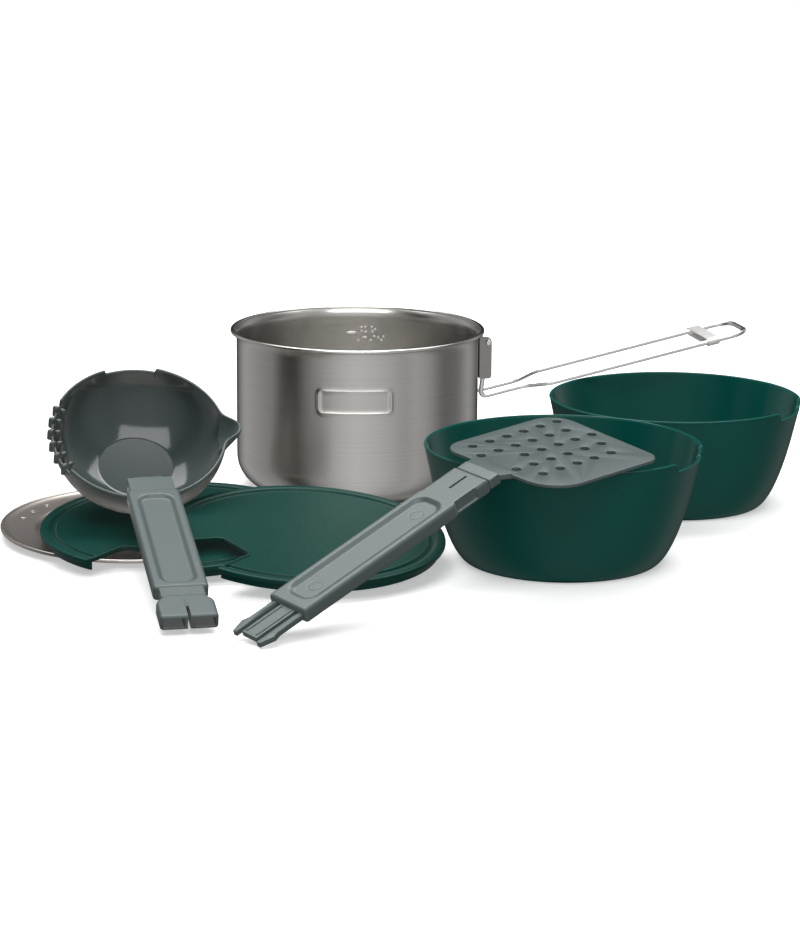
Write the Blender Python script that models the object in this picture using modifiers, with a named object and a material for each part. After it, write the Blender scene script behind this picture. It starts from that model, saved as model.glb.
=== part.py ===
"""Camping cook set: pot with folding handle, vented lid, two bowls, two board lids, ladle and spatula.

Metres, +Z up. The origin is the centre of the pot's base on the ground, and +X is the handle's side.
"""

from math import atan2, cos, degrees, pi, radians, sin, tan

import bmesh
import bpy
from mathutils import Vector

for old in list(bpy.data.objects):
    bpy.data.objects.remove(old, do_unlink=True)

# ---- driving dimensions --------------------------------------------------------------

GAP = 0.0003                 # clearance between touching pieces
TURN_STEPS = 48              # sides of a turned piece

POT_RIM_R = 0.0800
POT_HEIGHT = 0.1013
POT_WALL_R = 0.0762
POT_SHEET = 0.0009
POT_CORNER_R = 0.0209
POT_BEAD_R = 0.0013

HANDLE_AZIMUTH = radians(13)
WIRE_R = 0.0015
PIVOT_DROP = 0.0105          # from the pot's rim down to the pivot
HEEL_DROP = 0.0356           # from the pivot down to the heel on the pot's wall
LEG_HALF_GAP = 0.0090
ARM_HALF_GAP = 0.0193
ARM_LENGTH = 0.1790
ARM_RISE = radians(12.2)
ARM_S_START = 0.026          # where the two wires start to spread
ARM_S_END = 0.048
ARM_END_R = 0.0110           # bend radius at the handle's far end
BRACKET_HEIGHT = 0.0270
BRACKET_DEPTH = POT_RIM_R - POT_WALL_R + 2 * WIRE_R + 2 * GAP + 0.0006   # past the wire's hole
BRACKET_SHEET = 0.0010
CLIP_WIDTH = 0.0080
CLIP_SHEET = 0.0008
CLIP_PLACE = 0.1545          # along the arm, from the heel

STEEL_LID_R = 0.0806
STEEL_LID_HEIGHT = 0.0055
STEEL_LID_SHEET = 0.0009
STEEL_LID_PANEL_R = 0.0570
STEEL_LID_VENT_CIRCLE_R = 0.0695
STEEL_LID_VENT_R = 0.0016

BOARD_R = 0.0803
BOARD_HEIGHT = 0.0072
BOARD_PANEL = 0.0021
BOARD_SKIRT_INSET = 0.0030
BOARD_SKIRT = 0.0018
BOARD_NOTCH_R = 0.0470       # from the centre to the notch's inner edge
BOARD_NOTCH_HALF = radians(17.5)

BOWL_RIM_R = 0.0779
BOWL_HEIGHT = 0.0663
BOWL_WALL = 0.0022
BOWL_SHOULDER = (0.0739, 0.0480)   # radius and height where the wall starts to curve in
BOWL_BASE_R = 0.0537
BOWL_WALL_REACH = 0.0483     # how far the wall's line pulls the curve down
BOWL_FOOT_BLEND = 0.0120     # height over which the floor's thickness turns into the wall's
LARGE_BOWL_SCALE = 1.026
BOWL_NOTCH_AZIMUTH = radians(-22)
BOWL_NOTCH_HALF = radians(17.5)
BOWL_NOTCH_DEPTH = 0.0050

LADLE_R = 0.0515
LADLE_DEPTH = 0.0345
LADLE_WALL = 0.0020
LADLE_BASE_R = 0.0190
LADLE_SPOUT_REACH = 0.0086
LADLE_SPOUT_HALF = 0.0125
LADLE_TOOTH_COUNT = 7
HANDLE_WIDTH = 0.0300        # both utensils' handles
HANDLE_THICK = 0.0085
LADLE_BEND = radians(23.6)
LADLE_HANDLE_LENGTH = 0.1680
HINGE_R = 0.0032
HINGE_PIN_R = 0.0014

BLADE_LENGTH = 0.0820
BLADE_HALF_WIDTH = 0.0460
BLADE_SHIFT = -0.0040          # the blade's middle line, beside the handle's
BLADE_SKEW = 0.0060           # how much longer the blade's left side is
BLADE_THICK = 0.0020
BLADE_NECK = 0.0066          # from the ridge to the blade's near edge
BLADE_HOLE_R = 0.0028
BLADE_HOLE_PITCH = 0.0130
BLADE_ROW_PITCH = 0.0143
SPATULA_BEND = radians(17.7)
SLEEVE_END = 0.1440          # along the handle, from the ridge
PRONG_END = 0.1730
COLLAR_START = 0.0070
PLUG_LENGTH = 0.0240
PLUG_HALF = 0.0118
PLUG_THICK = 0.0040
SLEEVE_WALL = 0.0022         # beside the hollow
SLEEVE_FLOOR = 0.0018        # under the hollow
SLEEVE_ROOF = 0.0030         # over the hollow

# ---- where the loose pieces lie: location, then rotation, of each one's frame ---------------------------

PIVOT_Z = POT_HEIGHT - PIVOT_DROP

SMALL_BOARD_Z = STEEL_LID_HEIGHT + 0.0035
LARGE_BOARD_Z = SMALL_BOARD_Z + BOARD_HEIGHT - 0.0036
STEEL_LID_AT = (-0.1286, -0.1326, 0.0024), (radians(2.0), 0, 0)
SMALL_BOARD_AT = (-0.1010, -0.1692, SMALL_BOARD_Z), (radians(4.3), radians(-0.6), 0)
LARGE_BOARD_AT = (-0.0267, -0.2014, LARGE_BOARD_Z), (radians(5.7), radians(3.0), 0)

# The small bowl's rim passes under the rising wire, and the large bowl stands clear in front of it.
SMALL_BOWL_X = BOWL_RIM_R + BOWL_HEIGHT / tan(ARM_RISE) - 0.18696
LARGE_BOWL_RIM_R = BOWL_RIM_R * LARGE_BOWL_SCALE
LARGE_BOWL_X = 0.1208
LARGE_BOWL_Y = -2 * BOWL_RIM_R - 0.0265
SMALL_BOWL_AT = (SMALL_BOWL_X, -0.0376, 0), (0, 0, 0)
LARGE_BOWL_AT = (LARGE_BOWL_X, LARGE_BOWL_Y, 0), (0, 0, 0)

# The tilted ladle rests on the large board, low side down.
LADLE_TILT = radians(36.6)
LADLE_BELOW = LADLE_R * sin(LADLE_TILT) + 0.45 * LADLE_DEPTH
LADLE_Z = LARGE_BOARD_Z + BOARD_HEIGHT + LADLE_BELOW
LADLE_AT = (-0.1252, -0.1470, LADLE_Z), (0, LADLE_TILT, radians(-77.9))

# The spatula's ridge lies just outside the large bowl's rim, on a line from the bowl's centre.
SPATULA_LINE = radians(-120.87)
SPATULA_REACH = LARGE_BOWL_RIM_R + 0.0142
SPATULA_X = LARGE_BOWL_X + SPATULA_REACH * cos(SPATULA_LINE)
SPATULA_Y = LARGE_BOWL_Y + SPATULA_REACH * sin(SPATULA_LINE)
SPATULA_Z = BOWL_HEIGHT * LARGE_BOWL_SCALE + 0.0032
SPATULA_AT = (SPATULA_X, SPATULA_Y, SPATULA_Z), (radians(7.24), 0, radians(41))

# ---- materials -----------------------------------------------------------------------


def material(name, colour, roughness, metallic):
    made = bpy.data.materials.new(name)
    made.use_nodes = True
    shader = made.node_tree.nodes["Principled BSDF"]
    shader.inputs["Base Color"].default_value = (*colour, 1)
    shader.inputs["Roughness"].default_value = roughness
    shader.inputs["Metallic"].default_value = metallic
    return made


STEEL = material("brushed_steel", (0.58, 0.56, 0.53), 0.28, 1)
WIRE_STEEL = material("bright_wire", (0.70, 0.70, 0.69), 0.18, 1)
GREEN = material("green_plastic", (0.004, 0.075, 0.055), 0.35, 0)
GREY = material("grey_plastic", (0.115, 0.140, 0.140), 0.40, 0)

parts = bpy.data.collections.new("cooking_pot_set")
cutters = bpy.data.collections.new("cutters")
bpy.context.scene.collection.children.link(parts)
bpy.context.scene.collection.children.link(cutters)

# ---- modelling helpers ---------------------------------------------------------------


def frame(name, location, rotation, order="XYZ", parent=None):
    """An empty that carries the pieces of one group."""
    empty = bpy.data.objects.new(name, None)
    empty.rotation_mode = order
    empty.location = location
    empty.rotation_euler = rotation
    empty.parent = parent
    parts.objects.link(empty)
    return empty


def piece(name, mesh, paint, parent=None):
    """A named sub-part with its material, in its group's frame."""
    made = bpy.data.objects.new(name, mesh)
    made.parent = parent
    mesh.materials.append(paint)
    mesh.shade_smooth()
    mesh.set_sharp_from_angle(angle=radians(35))
    parts.objects.link(made)
    return made


def tool(name, mesh, parent=None):
    """A cutter, or a solid that is joined into a piece."""
    made = bpy.data.objects.new(name, mesh)
    made.parent = parent
    made.hide_render = True
    made.display_type = "WIRE"
    cutters.objects.link(made)
    return made


def boolean(target, other, operation):
    step = target.modifiers.new(other.name, "BOOLEAN")
    step.operation = operation
    step.object = other
    step.solver = "EXACT"


def cut(target, other):
    boolean(target, other, "DIFFERENCE")


def join(target, other):
    boolean(target, other, "UNION")


def turn(target, steps=TURN_STEPS):
    """Turns the profile in the XZ plane a full turn about Z."""
    step = target.modifiers.new("turn", "SCREW")
    step.steps = steps
    step.render_steps = steps
    step.use_merge_vertices = True
    step.merge_threshold = 0.00005


def profile_mesh(name, points, closed=False):
    """A chain of edges in the XZ plane."""
    mesh = bpy.data.meshes.new(name)
    edges = [(i, i + 1) for i in range(len(points) - 1)]
    if closed:
        edges.append((len(points) - 1, 0))
    mesh.from_pydata([(x, 0, z) for x, z in points], edges, [])
    return mesh


def curve_mesh(name, curve):
    """The curve's evaluated mesh with its caps welded."""
    holder = bpy.data.objects.new(name, curve)
    bpy.context.scene.collection.objects.link(holder)
    bpy.context.view_layer.update()
    evaluated = holder.evaluated_get(bpy.context.evaluated_depsgraph_get())
    mesh = bpy.data.meshes.new_from_object(evaluated)
    bpy.data.objects.remove(holder, do_unlink=True)
    work = bmesh.new()
    work.from_mesh(mesh)
    bmesh.ops.remove_doubles(work, verts=work.verts, dist=0.00001)
    bmesh.ops.recalc_face_normals(work, faces=work.faces)
    work.to_mesh(mesh)
    work.free()
    return mesh


def plate_mesh(name, outline, low, high):
    """A flat outline in the XY plane, filled from z = low to z = high."""
    curve = bpy.data.curves.new(name, "CURVE")
    curve.dimensions = "2D"
    curve.fill_mode = "BOTH"
    curve.extrude = (high - low) / 2
    spline = curve.splines.new("POLY")
    spline.points.add(len(outline) - 1)
    for point, (x, y) in zip(spline.points, outline):
        point.co = (x, y, 0, 1)
    spline.use_cyclic_u = True
    mesh = curve_mesh(name, curve)
    for vertex in mesh.vertices:
        vertex.co.z += (low + high) / 2
    return mesh


def tube_mesh(name, points, radius):
    """A round wire through the points."""
    curve = bpy.data.curves.new(name, "CURVE")
    curve.dimensions = "3D"
    curve.bevel_depth = radius
    curve.bevel_resolution = 2
    curve.use_fill_caps = True
    spline = curve.splines.new("POLY")
    spline.points.add(len(points) - 1)
    for point, place in zip(spline.points, points):
        point.co = (*place, 1)
    return curve_mesh(name, curve)


def box_mesh(name, low, high):
    """A box between two corners."""
    work = bmesh.new()
    bmesh.ops.create_cube(work, size=1)
    size = Vector(high) - Vector(low)
    middle = (Vector(high) + Vector(low)) / 2
    for vertex in work.verts:
        vertex.co = Vector(a * b for a, b in zip(vertex.co, size)) + middle
    mesh = bpy.data.meshes.new(name)
    work.to_mesh(mesh)
    work.free()
    return mesh


def rod_mesh(name, start, end, radius, sides=16):
    """A cylinder between two points."""
    work = bmesh.new()
    axis = Vector(end) - Vector(start)
    bmesh.ops.create_cone(
        work, cap_ends=True, segments=sides, radius1=radius, radius2=radius, depth=axis.length
    )
    turned = Vector((0, 0, 1)).rotation_difference(axis).to_matrix().to_4x4()
    bmesh.ops.transform(work, matrix=turned, verts=work.verts)
    bmesh.ops.translate(work, vec=(Vector(start) + Vector(end)) / 2, verts=work.verts)
    mesh = bpy.data.meshes.new(name)
    work.to_mesh(mesh)
    work.free()
    return mesh


def arc(centre, radius, start, end, count):
    """Points on an arc, with angles in degrees."""
    angles = [radians(start + (end - start) * i / (count - 1)) for i in range(count)]
    return [(centre[0] + radius * cos(a), centre[1] + radius * sin(a)) for a in angles]


def bezier(p0, p1, p2, p3, count):
    """Points on a cubic curve, without its first one."""
    points = []
    for i in range(1, count + 1):
        t = i / count
        weights = ((1 - t) ** 3, 3 * t * (1 - t) ** 2, 3 * t * t * (1 - t), t**3)
        points.append(tuple(sum(w * p[k] for w, p in zip(weights, (p0, p1, p2, p3))) for k in (0, 1)))
    return points


def round_outline(corners, radii, count=4):
    """A convex outline, listed anticlockwise, with each corner rounded by its own radius."""
    outline = []
    for i, corner in enumerate(corners):
        here = Vector(corner)
        before = (Vector(corners[i - 1]) - here).normalized()
        after = (Vector(corners[(i + 1) % len(corners)]) - here).normalized()
        half = before.angle(after) / 2
        middle = here + (before + after).normalized() * radii[i] / sin(half)
        start = middle - Vector((before.y, -before.x)) * radii[i]
        end = middle - Vector((-after.y, after.x)) * radii[i]
        a0 = atan2(*reversed(start - middle))
        a1 = atan2(*reversed(end - middle))
        if a1 < a0:
            a1 += 2 * pi
        outline += arc(middle, radii[i], degrees(a0), degrees(a1), count)
    return outline


def box_outline(x0, x1, half_width, radius, count=4):
    """A rounded rectangle, symmetrical about the X axis."""
    corners = [(x0, -half_width), (x1, -half_width), (x1, half_width), (x0, half_width)]
    return round_outline(corners, [radius] * 4, count)


# ---- pot -----------------------------------------------------------------------------


def make_pot():
    """The pot's inside, its rolled rim and its outside, as one turned sheet."""
    inner_r = POT_WALL_R - POT_SHEET
    corner = POT_CORNER_R - POT_SHEET
    bead = (POT_RIM_R - POT_BEAD_R, POT_HEIGHT - POT_BEAD_R)
    inside = [(0, POT_SHEET)]
    inside += arc((inner_r - corner, POT_CORNER_R), corner, -90, 0, 5)
    inside.append((inner_r, bead[1] - 0.0042))
    rim = arc(bead, POT_BEAD_R, 190, -90, 9)
    outside = [(POT_WALL_R, bead[1] - 0.0046)]
    outside += arc((POT_WALL_R - POT_CORNER_R, POT_CORNER_R), POT_CORNER_R, 0, -90, 6)
    outside.append((0, 0))
    pot = piece("pot_body", profile_mesh("pot_body", inside + rim + outside), STEEL)
    turn(pot)


# ---- pot handle ----------------------------------------------------------------------

handle_side = frame("handle_side", (0, 0, 0), (0, 0, HANDLE_AZIMUTH))
PIVOT_X = POT_RIM_R + WIRE_R + 2 * GAP + 0.0001
HEEL_X = POT_WALL_R + WIRE_R + GAP
FLANGE_Y = LEG_HALF_GAP + WIRE_R + GAP
PLATE_X = POT_WALL_R + GAP + 0.0001
handle_pivot = frame("pot_handle_pivot", (PIVOT_X, 0, PIVOT_Z), (0, 0, 0), parent=handle_side)
heel = Vector((HEEL_X - PIVOT_X, 0, -HEEL_DROP))
arm_way = Vector((cos(ARM_RISE), 0, sin(ARM_RISE)))


def bracket_side(name, side):
    """One upright flange of the bracket, rounded at the pivot, with the pivot's hole."""
    front = PLATE_X + BRACKET_DEPTH
    back = PLATE_X + BRACKET_SHEET / 4
    top = PIVOT_Z + 0.0036
    low = top - BRACKET_HEIGHT
    corners = [(back, low), (front, low), (front, top), (back, top)]
    outline = round_outline(corners, [0.0004, 0.002, 0.0035, 0.0004])
    mesh = plate_mesh(name, outline, 0, BRACKET_SHEET)
    for vertex in mesh.vertices:
        x, z, y = vertex.co
        vertex.co = (x, side * (FLANGE_Y + y), z)
    if side > 0:
        mesh.flip_normals()
    return mesh


def make_bracket():
    """A back plate on the pot's wall with two flanges that hold the wire's ends."""
    top = PIVOT_Z + 0.0036
    low = (PLATE_X, -FLANGE_Y - BRACKET_SHEET / 2, top - BRACKET_HEIGHT + 0.0005)
    high = (PLATE_X + BRACKET_SHEET, FLANGE_Y + BRACKET_SHEET / 2, top - 0.0005)
    bracket = piece("handle_bracket", box_mesh("handle_bracket", low, high), STEEL, handle_side)
    for name, side in (("flange_near", -1), ("flange_far", 1)):
        join(bracket, tool(name, bracket_side(name, side), handle_side))
    reach = FLANGE_Y + 3 * BRACKET_SHEET
    hole = rod_mesh("pivot_hole", (PIVOT_X, -reach, PIVOT_Z), (PIVOT_X, reach, PIVOT_Z), WIRE_R + GAP)
    cut(bracket, tool("pivot_hole", hole, handle_side))


def arm_point(along, aside):
    place = heel + arm_way * along
    return (place.x, aside, place.z)


def wire_side():
    """Half of the wire, from its end in the bracket to the middle of the handle's far end."""
    stub = FLANGE_Y + BRACKET_SHEET + 0.0010
    points = [(0, stub, 0), (0, LEG_HALF_GAP + 0.0016, 0)]
    points.append((heel.x * 0.02, LEG_HALF_GAP + 0.0005, -0.0006))
    points.append((heel.x * 0.06, LEG_HALF_GAP, -0.0018))
    down = heel.normalized()
    bend = 0.0040
    points.append(tuple(heel - down * bend + Vector((0, LEG_HALF_GAP, 0))))
    for t in (0.25, 0.5, 0.75):
        curve = heel - down * bend * (1 - t) ** 2 + arm_way * bend * t**2
        points.append((curve.x, LEG_HALF_GAP, curve.z))
    points.append(arm_point(bend, LEG_HALF_GAP))
    for i in range(7):
        t = i / 6
        along = ARM_S_START + (ARM_S_END - ARM_S_START) * t
        ease = t * t * (3 - 2 * t)
        points.append(arm_point(along, LEG_HALF_GAP + (ARM_HALF_GAP - LEG_HALF_GAP) * ease))
    corner = (ARM_LENGTH - ARM_END_R, ARM_HALF_GAP - ARM_END_R)
    for x, y in arc(corner, ARM_END_R, 90, 0, 6):
        points.append(arm_point(x, y))
    return points


def make_wire():
    half = wire_side()
    points = half + [(x, -y, z) for x, y, z in reversed(half)]
    piece("pot_handle_wire", tube_mesh("pot_handle_wire", points, WIRE_R), WIRE_STEEL, handle_pivot)


def make_clip():
    """A flattened sheet sleeve round both wires, which slides along the handle."""
    inner = WIRE_R + GAP
    outer = inner + CLIP_SHEET
    slope = frame("clip_slope", heel + arm_way * CLIP_PLACE, (0, -ARM_RISE, 0), parent=handle_pivot)
    reach = ARM_HALF_GAP
    rounds = []
    for radius, name in ((outer, "handle_clip"), (inner, "clip_inside")):
        outline = arc((0, reach), radius, 0, 180, 7) + arc((0, -reach), radius, 180, 360, 7)
        half = CLIP_WIDTH / 2 if radius == outer else CLIP_WIDTH
        mesh = plate_mesh(name, outline, -half, half)
        for vertex in mesh.vertices:
            z, y, x = vertex.co
            vertex.co = (x, y, z)
        mesh.flip_normals()
        rounds.append(mesh)
    clip = piece("handle_clip", rounds[0], WIRE_STEEL, slope)
    cut(clip, tool("clip_inside", rounds[1], slope))


# ---- steel lid -----------------------------------------------------------------------


def make_steel_lid():
    """A pressed sheet: sunk middle panel, raised ring with three vents, rolled rim."""
    t = STEEL_LID_SHEET
    ring_z = 0.0036
    ring_in = STEEL_LID_PANEL_R + 0.0030
    bead_r = 0.0011
    bead = (STEEL_LID_R - bead_r, STEEL_LID_HEIGHT - bead_r)
    top = [(0, t), (STEEL_LID_PANEL_R, t), (ring_in, ring_z), (bead[0] - 0.0042, ring_z)]
    rim = arc(bead, bead_r, 160, -90, 8)
    under = [(bead[0] - 0.0036, ring_z - t), (ring_in + 0.0006, ring_z - t)]
    under += [(STEEL_LID_PANEL_R + 0.0006, 0), (0, 0)]
    group = frame("steel_lid_frame", *STEEL_LID_AT)
    lid = piece("steel_lid", profile_mesh("steel_lid", top + rim + under), STEEL, group)
    turn(lid)
    for i, azimuth in enumerate((146.5, 158.8, 171.0)):
        a = radians(azimuth)
        x = STEEL_LID_VENT_CIRCLE_R * cos(a)
        y = STEEL_LID_VENT_CIRCLE_R * sin(a)
        name = f"vent_{i + 1}"
        hole = rod_mesh(name, (x, y, -0.01), (x, y, 0.02), STEEL_LID_VENT_R, 12)
        cut(lid, tool(name, hole, group))


# ---- board lids ----------------------------------------------------------------------


def make_board(name, place, notch_azimuth):
    """A bowl's lid and cutting board: flat panel, juice groove, rounded rim, inset skirt, notch."""
    top = BOARD_HEIGHT
    panel_top = top - 0.0006
    under = panel_top - BOARD_PANEL
    rim_r = 0.0010
    groove = BOARD_R - 0.0068
    skirt_out = BOARD_R - BOARD_SKIRT_INSET
    skirt_in = skirt_out - BOARD_SKIRT
    points = [(0, panel_top), (groove - 0.0032, panel_top), (groove - 0.0022, panel_top - 0.0010)]
    points += [(groove, panel_top - 0.0010), (groove + 0.0014, top)]
    points += arc((BOARD_R - rim_r, top - rim_r), rim_r, 90, 0, 4)
    points += [(BOARD_R, top - 0.0022), (BOARD_R - 0.0006, top - 0.0027), (skirt_out, top - 0.0027)]
    points += [(skirt_out - 0.0002, 0), (skirt_in, 0), (skirt_in, under), (0, under)]
    group = frame(f"{name}_frame", *place)
    board = piece(name, profile_mesh(name, points), GREEN, group)
    turn(board)
    far = BOARD_R + 0.02
    spread = sin(BOARD_NOTCH_HALF) / cos(BOARD_NOTCH_HALF)
    corners = [(BOARD_NOTCH_R, -BOARD_NOTCH_R * spread), (far, -far * spread)]
    corners += [(far, far * spread), (BOARD_NOTCH_R, BOARD_NOTCH_R * spread)]
    outline = round_outline(corners, [0.004, 0.001, 0.001, 0.004])
    notch = tool(f"{name}_notch", plate_mesh(f"{name}_notch", outline, -0.01, 0.02), group)
    notch.rotation_euler = (0, 0, radians(notch_azimuth))
    cut(board, notch)


# ---- bowls ---------------------------------------------------------------------------


def bowl_side(scale, inset):
    """The bowl's outer line from rim to base, moved in by a wall."""
    shoulder = Vector(BOWL_SHOULDER) * scale
    rim = Vector((BOWL_RIM_R, BOWL_HEIGHT)) * scale
    base = Vector((BOWL_BASE_R * scale, 0))
    way = (shoulder - rim).normalized()
    curve = bezier(shoulder, shoulder + way * BOWL_WALL_REACH * scale, base, base, 5)
    side = []
    for x, z in [tuple(shoulder)] + curve:
        share = 0.25 + 0.75 * min(1, z / BOWL_FOOT_BLEND)
        side.append((x - inset * share, z + inset * (1 - z / rim.y)))
    return side


def make_bowl(name, scale, place):
    """A deep bowl with an even wall, a rounded lip and a shallow notch in the rim."""
    rim_x = BOWL_RIM_R * scale
    rim_z = BOWL_HEIGHT * scale
    lip = BOWL_WALL / 2
    outer = bowl_side(scale, 0)
    inner = bowl_side(scale, BOWL_WALL)
    points = [(0, BOWL_WALL)] + list(reversed(inner))
    points += arc((rim_x - lip, rim_z - lip), lip, 180, 0, 5)
    points += outer + [(0, 0)]
    group = frame(f"{name}_frame", *place)
    bowl = piece(name, profile_mesh(name, points), GREEN, group)
    turn(bowl)
    half = rim_x * sin(BOWL_NOTCH_HALF)
    low = rim_z - BOWL_NOTCH_DEPTH
    corners = [(-half, low), (half, low), (half * 1.04, rim_z + 0.01), (-half * 1.04, rim_z + 0.01)]
    outline = round_outline(corners, [0.004, 0.004, 0.001, 0.001])
    mesh = plate_mesh(f"{name}_notch", outline, -0.012, 0.012)
    for vertex in mesh.vertices:
        y, z, x = vertex.co
        vertex.co = (x + rim_x, y, z)
    notch = tool(f"{name}_notch", mesh, group)
    notch.rotation_euler = (0, 0, BOWL_NOTCH_AZIMUTH)
    cut(bowl, notch)


# ---- ladle ---------------------------------------------------------------------------

ladle_frame = frame("ladle_frame", *LADLE_AT)
HINGE_X = LADLE_R - 0.0060
HINGE_Z = 0.0070
ladle_hinge = frame("ladle_hinge", (HINGE_X, 0, HINGE_Z), (0, -LADLE_BEND, 0), parent=ladle_frame)
EAR_INNER = 0.0085
EAR_OUTER = 0.0118


def ladle_outline(radius, depth, base):
    """The bowl's outer line from rim to base."""
    rim = (radius, 0)
    return [rim] + bezier(rim, (radius, -0.60 * depth), (base + 0.021, -depth), (base, -depth), 6)


def make_ladle_bowl():
    outer = ladle_outline(LADLE_R, LADLE_DEPTH, LADLE_BASE_R)
    inner = ladle_outline(LADLE_R - LADLE_WALL, LADLE_DEPTH - LADLE_WALL, LADLE_BASE_R - 0.0006)
    points = [(0, LADLE_WALL - LADLE_DEPTH)] + list(reversed(inner)) + outer + [(0, -LADLE_DEPTH)]
    bowl = piece("ladle_bowl", profile_mesh("ladle_bowl", points), GREY, ladle_frame)
    turn(bowl)
    lip = tool("spout_outside", spout_mesh("spout_outside", 0, 0.016), ladle_frame)
    join(bowl, lip)
    hollow = tool("spout_inside", spout_mesh("spout_inside", LADLE_WALL * 0.9, 0.0125), ladle_frame)
    cut(bowl, hollow)
    for side in (-1, 1):
        join(bowl, tool(f"ear_{side}", ear_mesh(f"ear_{side}", side), ladle_frame))
    reach = EAR_OUTER + 0.002
    hole = rod_mesh("pin_hole", (HINGE_X, -reach, HINGE_Z), (HINGE_X, reach, HINGE_Z), HINGE_PIN_R + GAP)
    cut(bowl, tool("pin_hole", hole, ladle_frame))
    low = (-LADLE_R - 0.01, -HANDLE_WIDTH / 2 - GAP, -0.0030)
    high = (-LADLE_R + 0.02, HANDLE_WIDTH / 2 + GAP, 0.01)
    cut(bowl, tool("rest_notch", box_mesh("rest_notch", low, high), ladle_frame))
    for i in range(LADLE_TOOTH_COUNT):
        low = (LADLE_R - 0.006, -0.0013, -0.0055)
        high = (LADLE_R + 0.004, 0.0013, 0.01)
        cutter = tool(f"slot_{i + 1}", box_mesh(f"slot_{i + 1}", low, high), ladle_frame)
        cutter.rotation_euler = (0, 0, radians(-120 + 62 * (i + 0.5) / LADLE_TOOTH_COUNT))
        cut(bowl, cutter)


def spout_mesh(name, inset, drop):
    """A wedge that starts inside the wall, ends in a point past the rim and narrows downwards."""
    root = LADLE_R - LADLE_WALL - (0.0004 if inset == 0 else 0.006)
    tip = LADLE_R + LADLE_SPOUT_REACH - inset * 1.6
    half = LADLE_SPOUT_HALF - inset
    top = 0 if inset == 0 else 0.004
    outline = round_outline([(-half, root), (half, root), (0, tip)], [0.0004, 0.0004, 0.0028])
    mesh = plate_mesh(name, outline, -drop, top)
    low_root = root - 0.0004
    for vertex in mesh.vertices:
        if vertex.co.z < -drop / 2:
            vertex.co.y = low_root - 0.0045 + (vertex.co.y - root) * 0.25
            vertex.co.x *= 0.45
    return mesh


def ear_mesh(name, side):
    """A hinge ear that rises from the bowl's wall to round off about the pin."""
    corners = [(LADLE_R - 0.0016, -0.0090), (LADLE_R - 0.0004, -0.0060), (LADLE_R, -0.0005)]
    outline = corners + arc((HINGE_X, HINGE_Z), HINGE_R, 10, 200, 9) + [(LADLE_R - 0.0060, -0.0010)]
    mesh = plate_mesh(name, outline, EAR_INNER, EAR_OUTER)
    for vertex in mesh.vertices:
        x, z, y = vertex.co
        vertex.co = (x, side * y, z)
    if side > 0:
        mesh.flip_normals()
    return mesh


def make_ladle_pin():
    reach = EAR_OUTER - GAP
    pin = rod_mesh("ladle_hinge_pin", (0, -reach, 0), (0, reach, 0), HINGE_PIN_R, 12)
    piece("ladle_hinge_pin", pin, STEEL, ladle_hinge)


def slab(name, outline, low, high, parent):
    return tool(name, plate_mesh(name, outline, low, high), parent)


def recess(target, name, x0, x1, half_width, depth, top, parent):
    """A pill-shaped hollow in a handle's upper face."""
    pill = box_outline(x0, x1, half_width, half_width * 0.85, 6)
    cut(target, slab(name, pill, top - depth, top + 0.005, parent))


def make_ladle_handle():
    """Barrel on the pin, flat plate, sleeve with a pill recess, waist, and an end block with two sockets."""
    half = HANDLE_WIDTH / 2
    low = -HANDLE_THICK / 2
    high = HANDLE_THICK / 2
    waist = 0.0095
    block = LADLE_HANDLE_LENGTH - 0.0200
    sleeve = box_outline(0.0170, block - 0.0130, half, 0.0035)
    handle = piece("ladle_handle", plate_mesh("ladle_handle", sleeve, low, high), GREY, ladle_hinge)
    plate = box_outline(HINGE_R + 0.0008, 0.0200, half - 0.0020, 0.0015)
    join(handle, slab("handle_plate", plate, 0.0004, high - 0.0012, ladle_hinge))
    web = box_outline(0.0005, 0.0060, EAR_INNER - 2 * GAP, 0.0003, 2)
    join(handle, slab("handle_web", web, -0.0005, 0.0022, ladle_hinge))
    reach = EAR_INNER - GAP
    barrel = rod_mesh("handle_barrel", (0, -reach, 0), (0, reach, 0), HINGE_R)
    join(handle, tool("handle_barrel", barrel, ladle_hinge))
    neck = box_outline(block - 0.0160, block + 0.0030, waist, 0.0010)
    join(handle, slab("handle_waist", neck, low + 0.0008, high - 0.0008, ladle_hinge))
    end = box_outline(block, LADLE_HANDLE_LENGTH, half + 0.0012, 0.0025)
    join(handle, slab("end_block", end, low, high, ladle_hinge))
    hole = rod_mesh("barrel_bore", (0, -0.02, 0), (0, 0.02, 0), HINGE_PIN_R + GAP)
    cut(handle, tool("barrel_bore", hole, ladle_hinge))
    recess(handle, "ladle_recess", 0.0250, block - 0.0200, 0.0090, 0.0012, high, ladle_hinge)
    end_sockets(handle, block, ladle_hinge)


def end_sockets(handle, block, parent):
    """Two pockets for the extension's outer prongs, and the slit between them."""
    tip = LADLE_HANDLE_LENGTH
    for side in (-1, 1):
        near, far = sorted((side * 0.0022, side * (HANDLE_WIDTH / 2 - 0.0006)))
        low = (block + 0.0030, near, -0.0028)
        high = (tip + 0.01, far, 0.0028)
        name = f"socket_{side}"
        cut(handle, tool(name, box_mesh(name, low, high), parent))
    slit = box_mesh("end_slit", (block + 0.0060, -0.0009, -0.02), (tip + 0.01, 0.0009, 0.0012))
    cut(handle, tool("end_slit", slit, parent))


# ---- spatula -------------------------------------------------------------------------

spatula_frame = frame("spatula_frame", *SPATULA_AT, "ZYX")
spatula_handle = frame(
    "spatula_handle_frame", (0, 0, -BLADE_THICK), (0, SPATULA_BEND, pi), parent=spatula_frame
)


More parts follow.
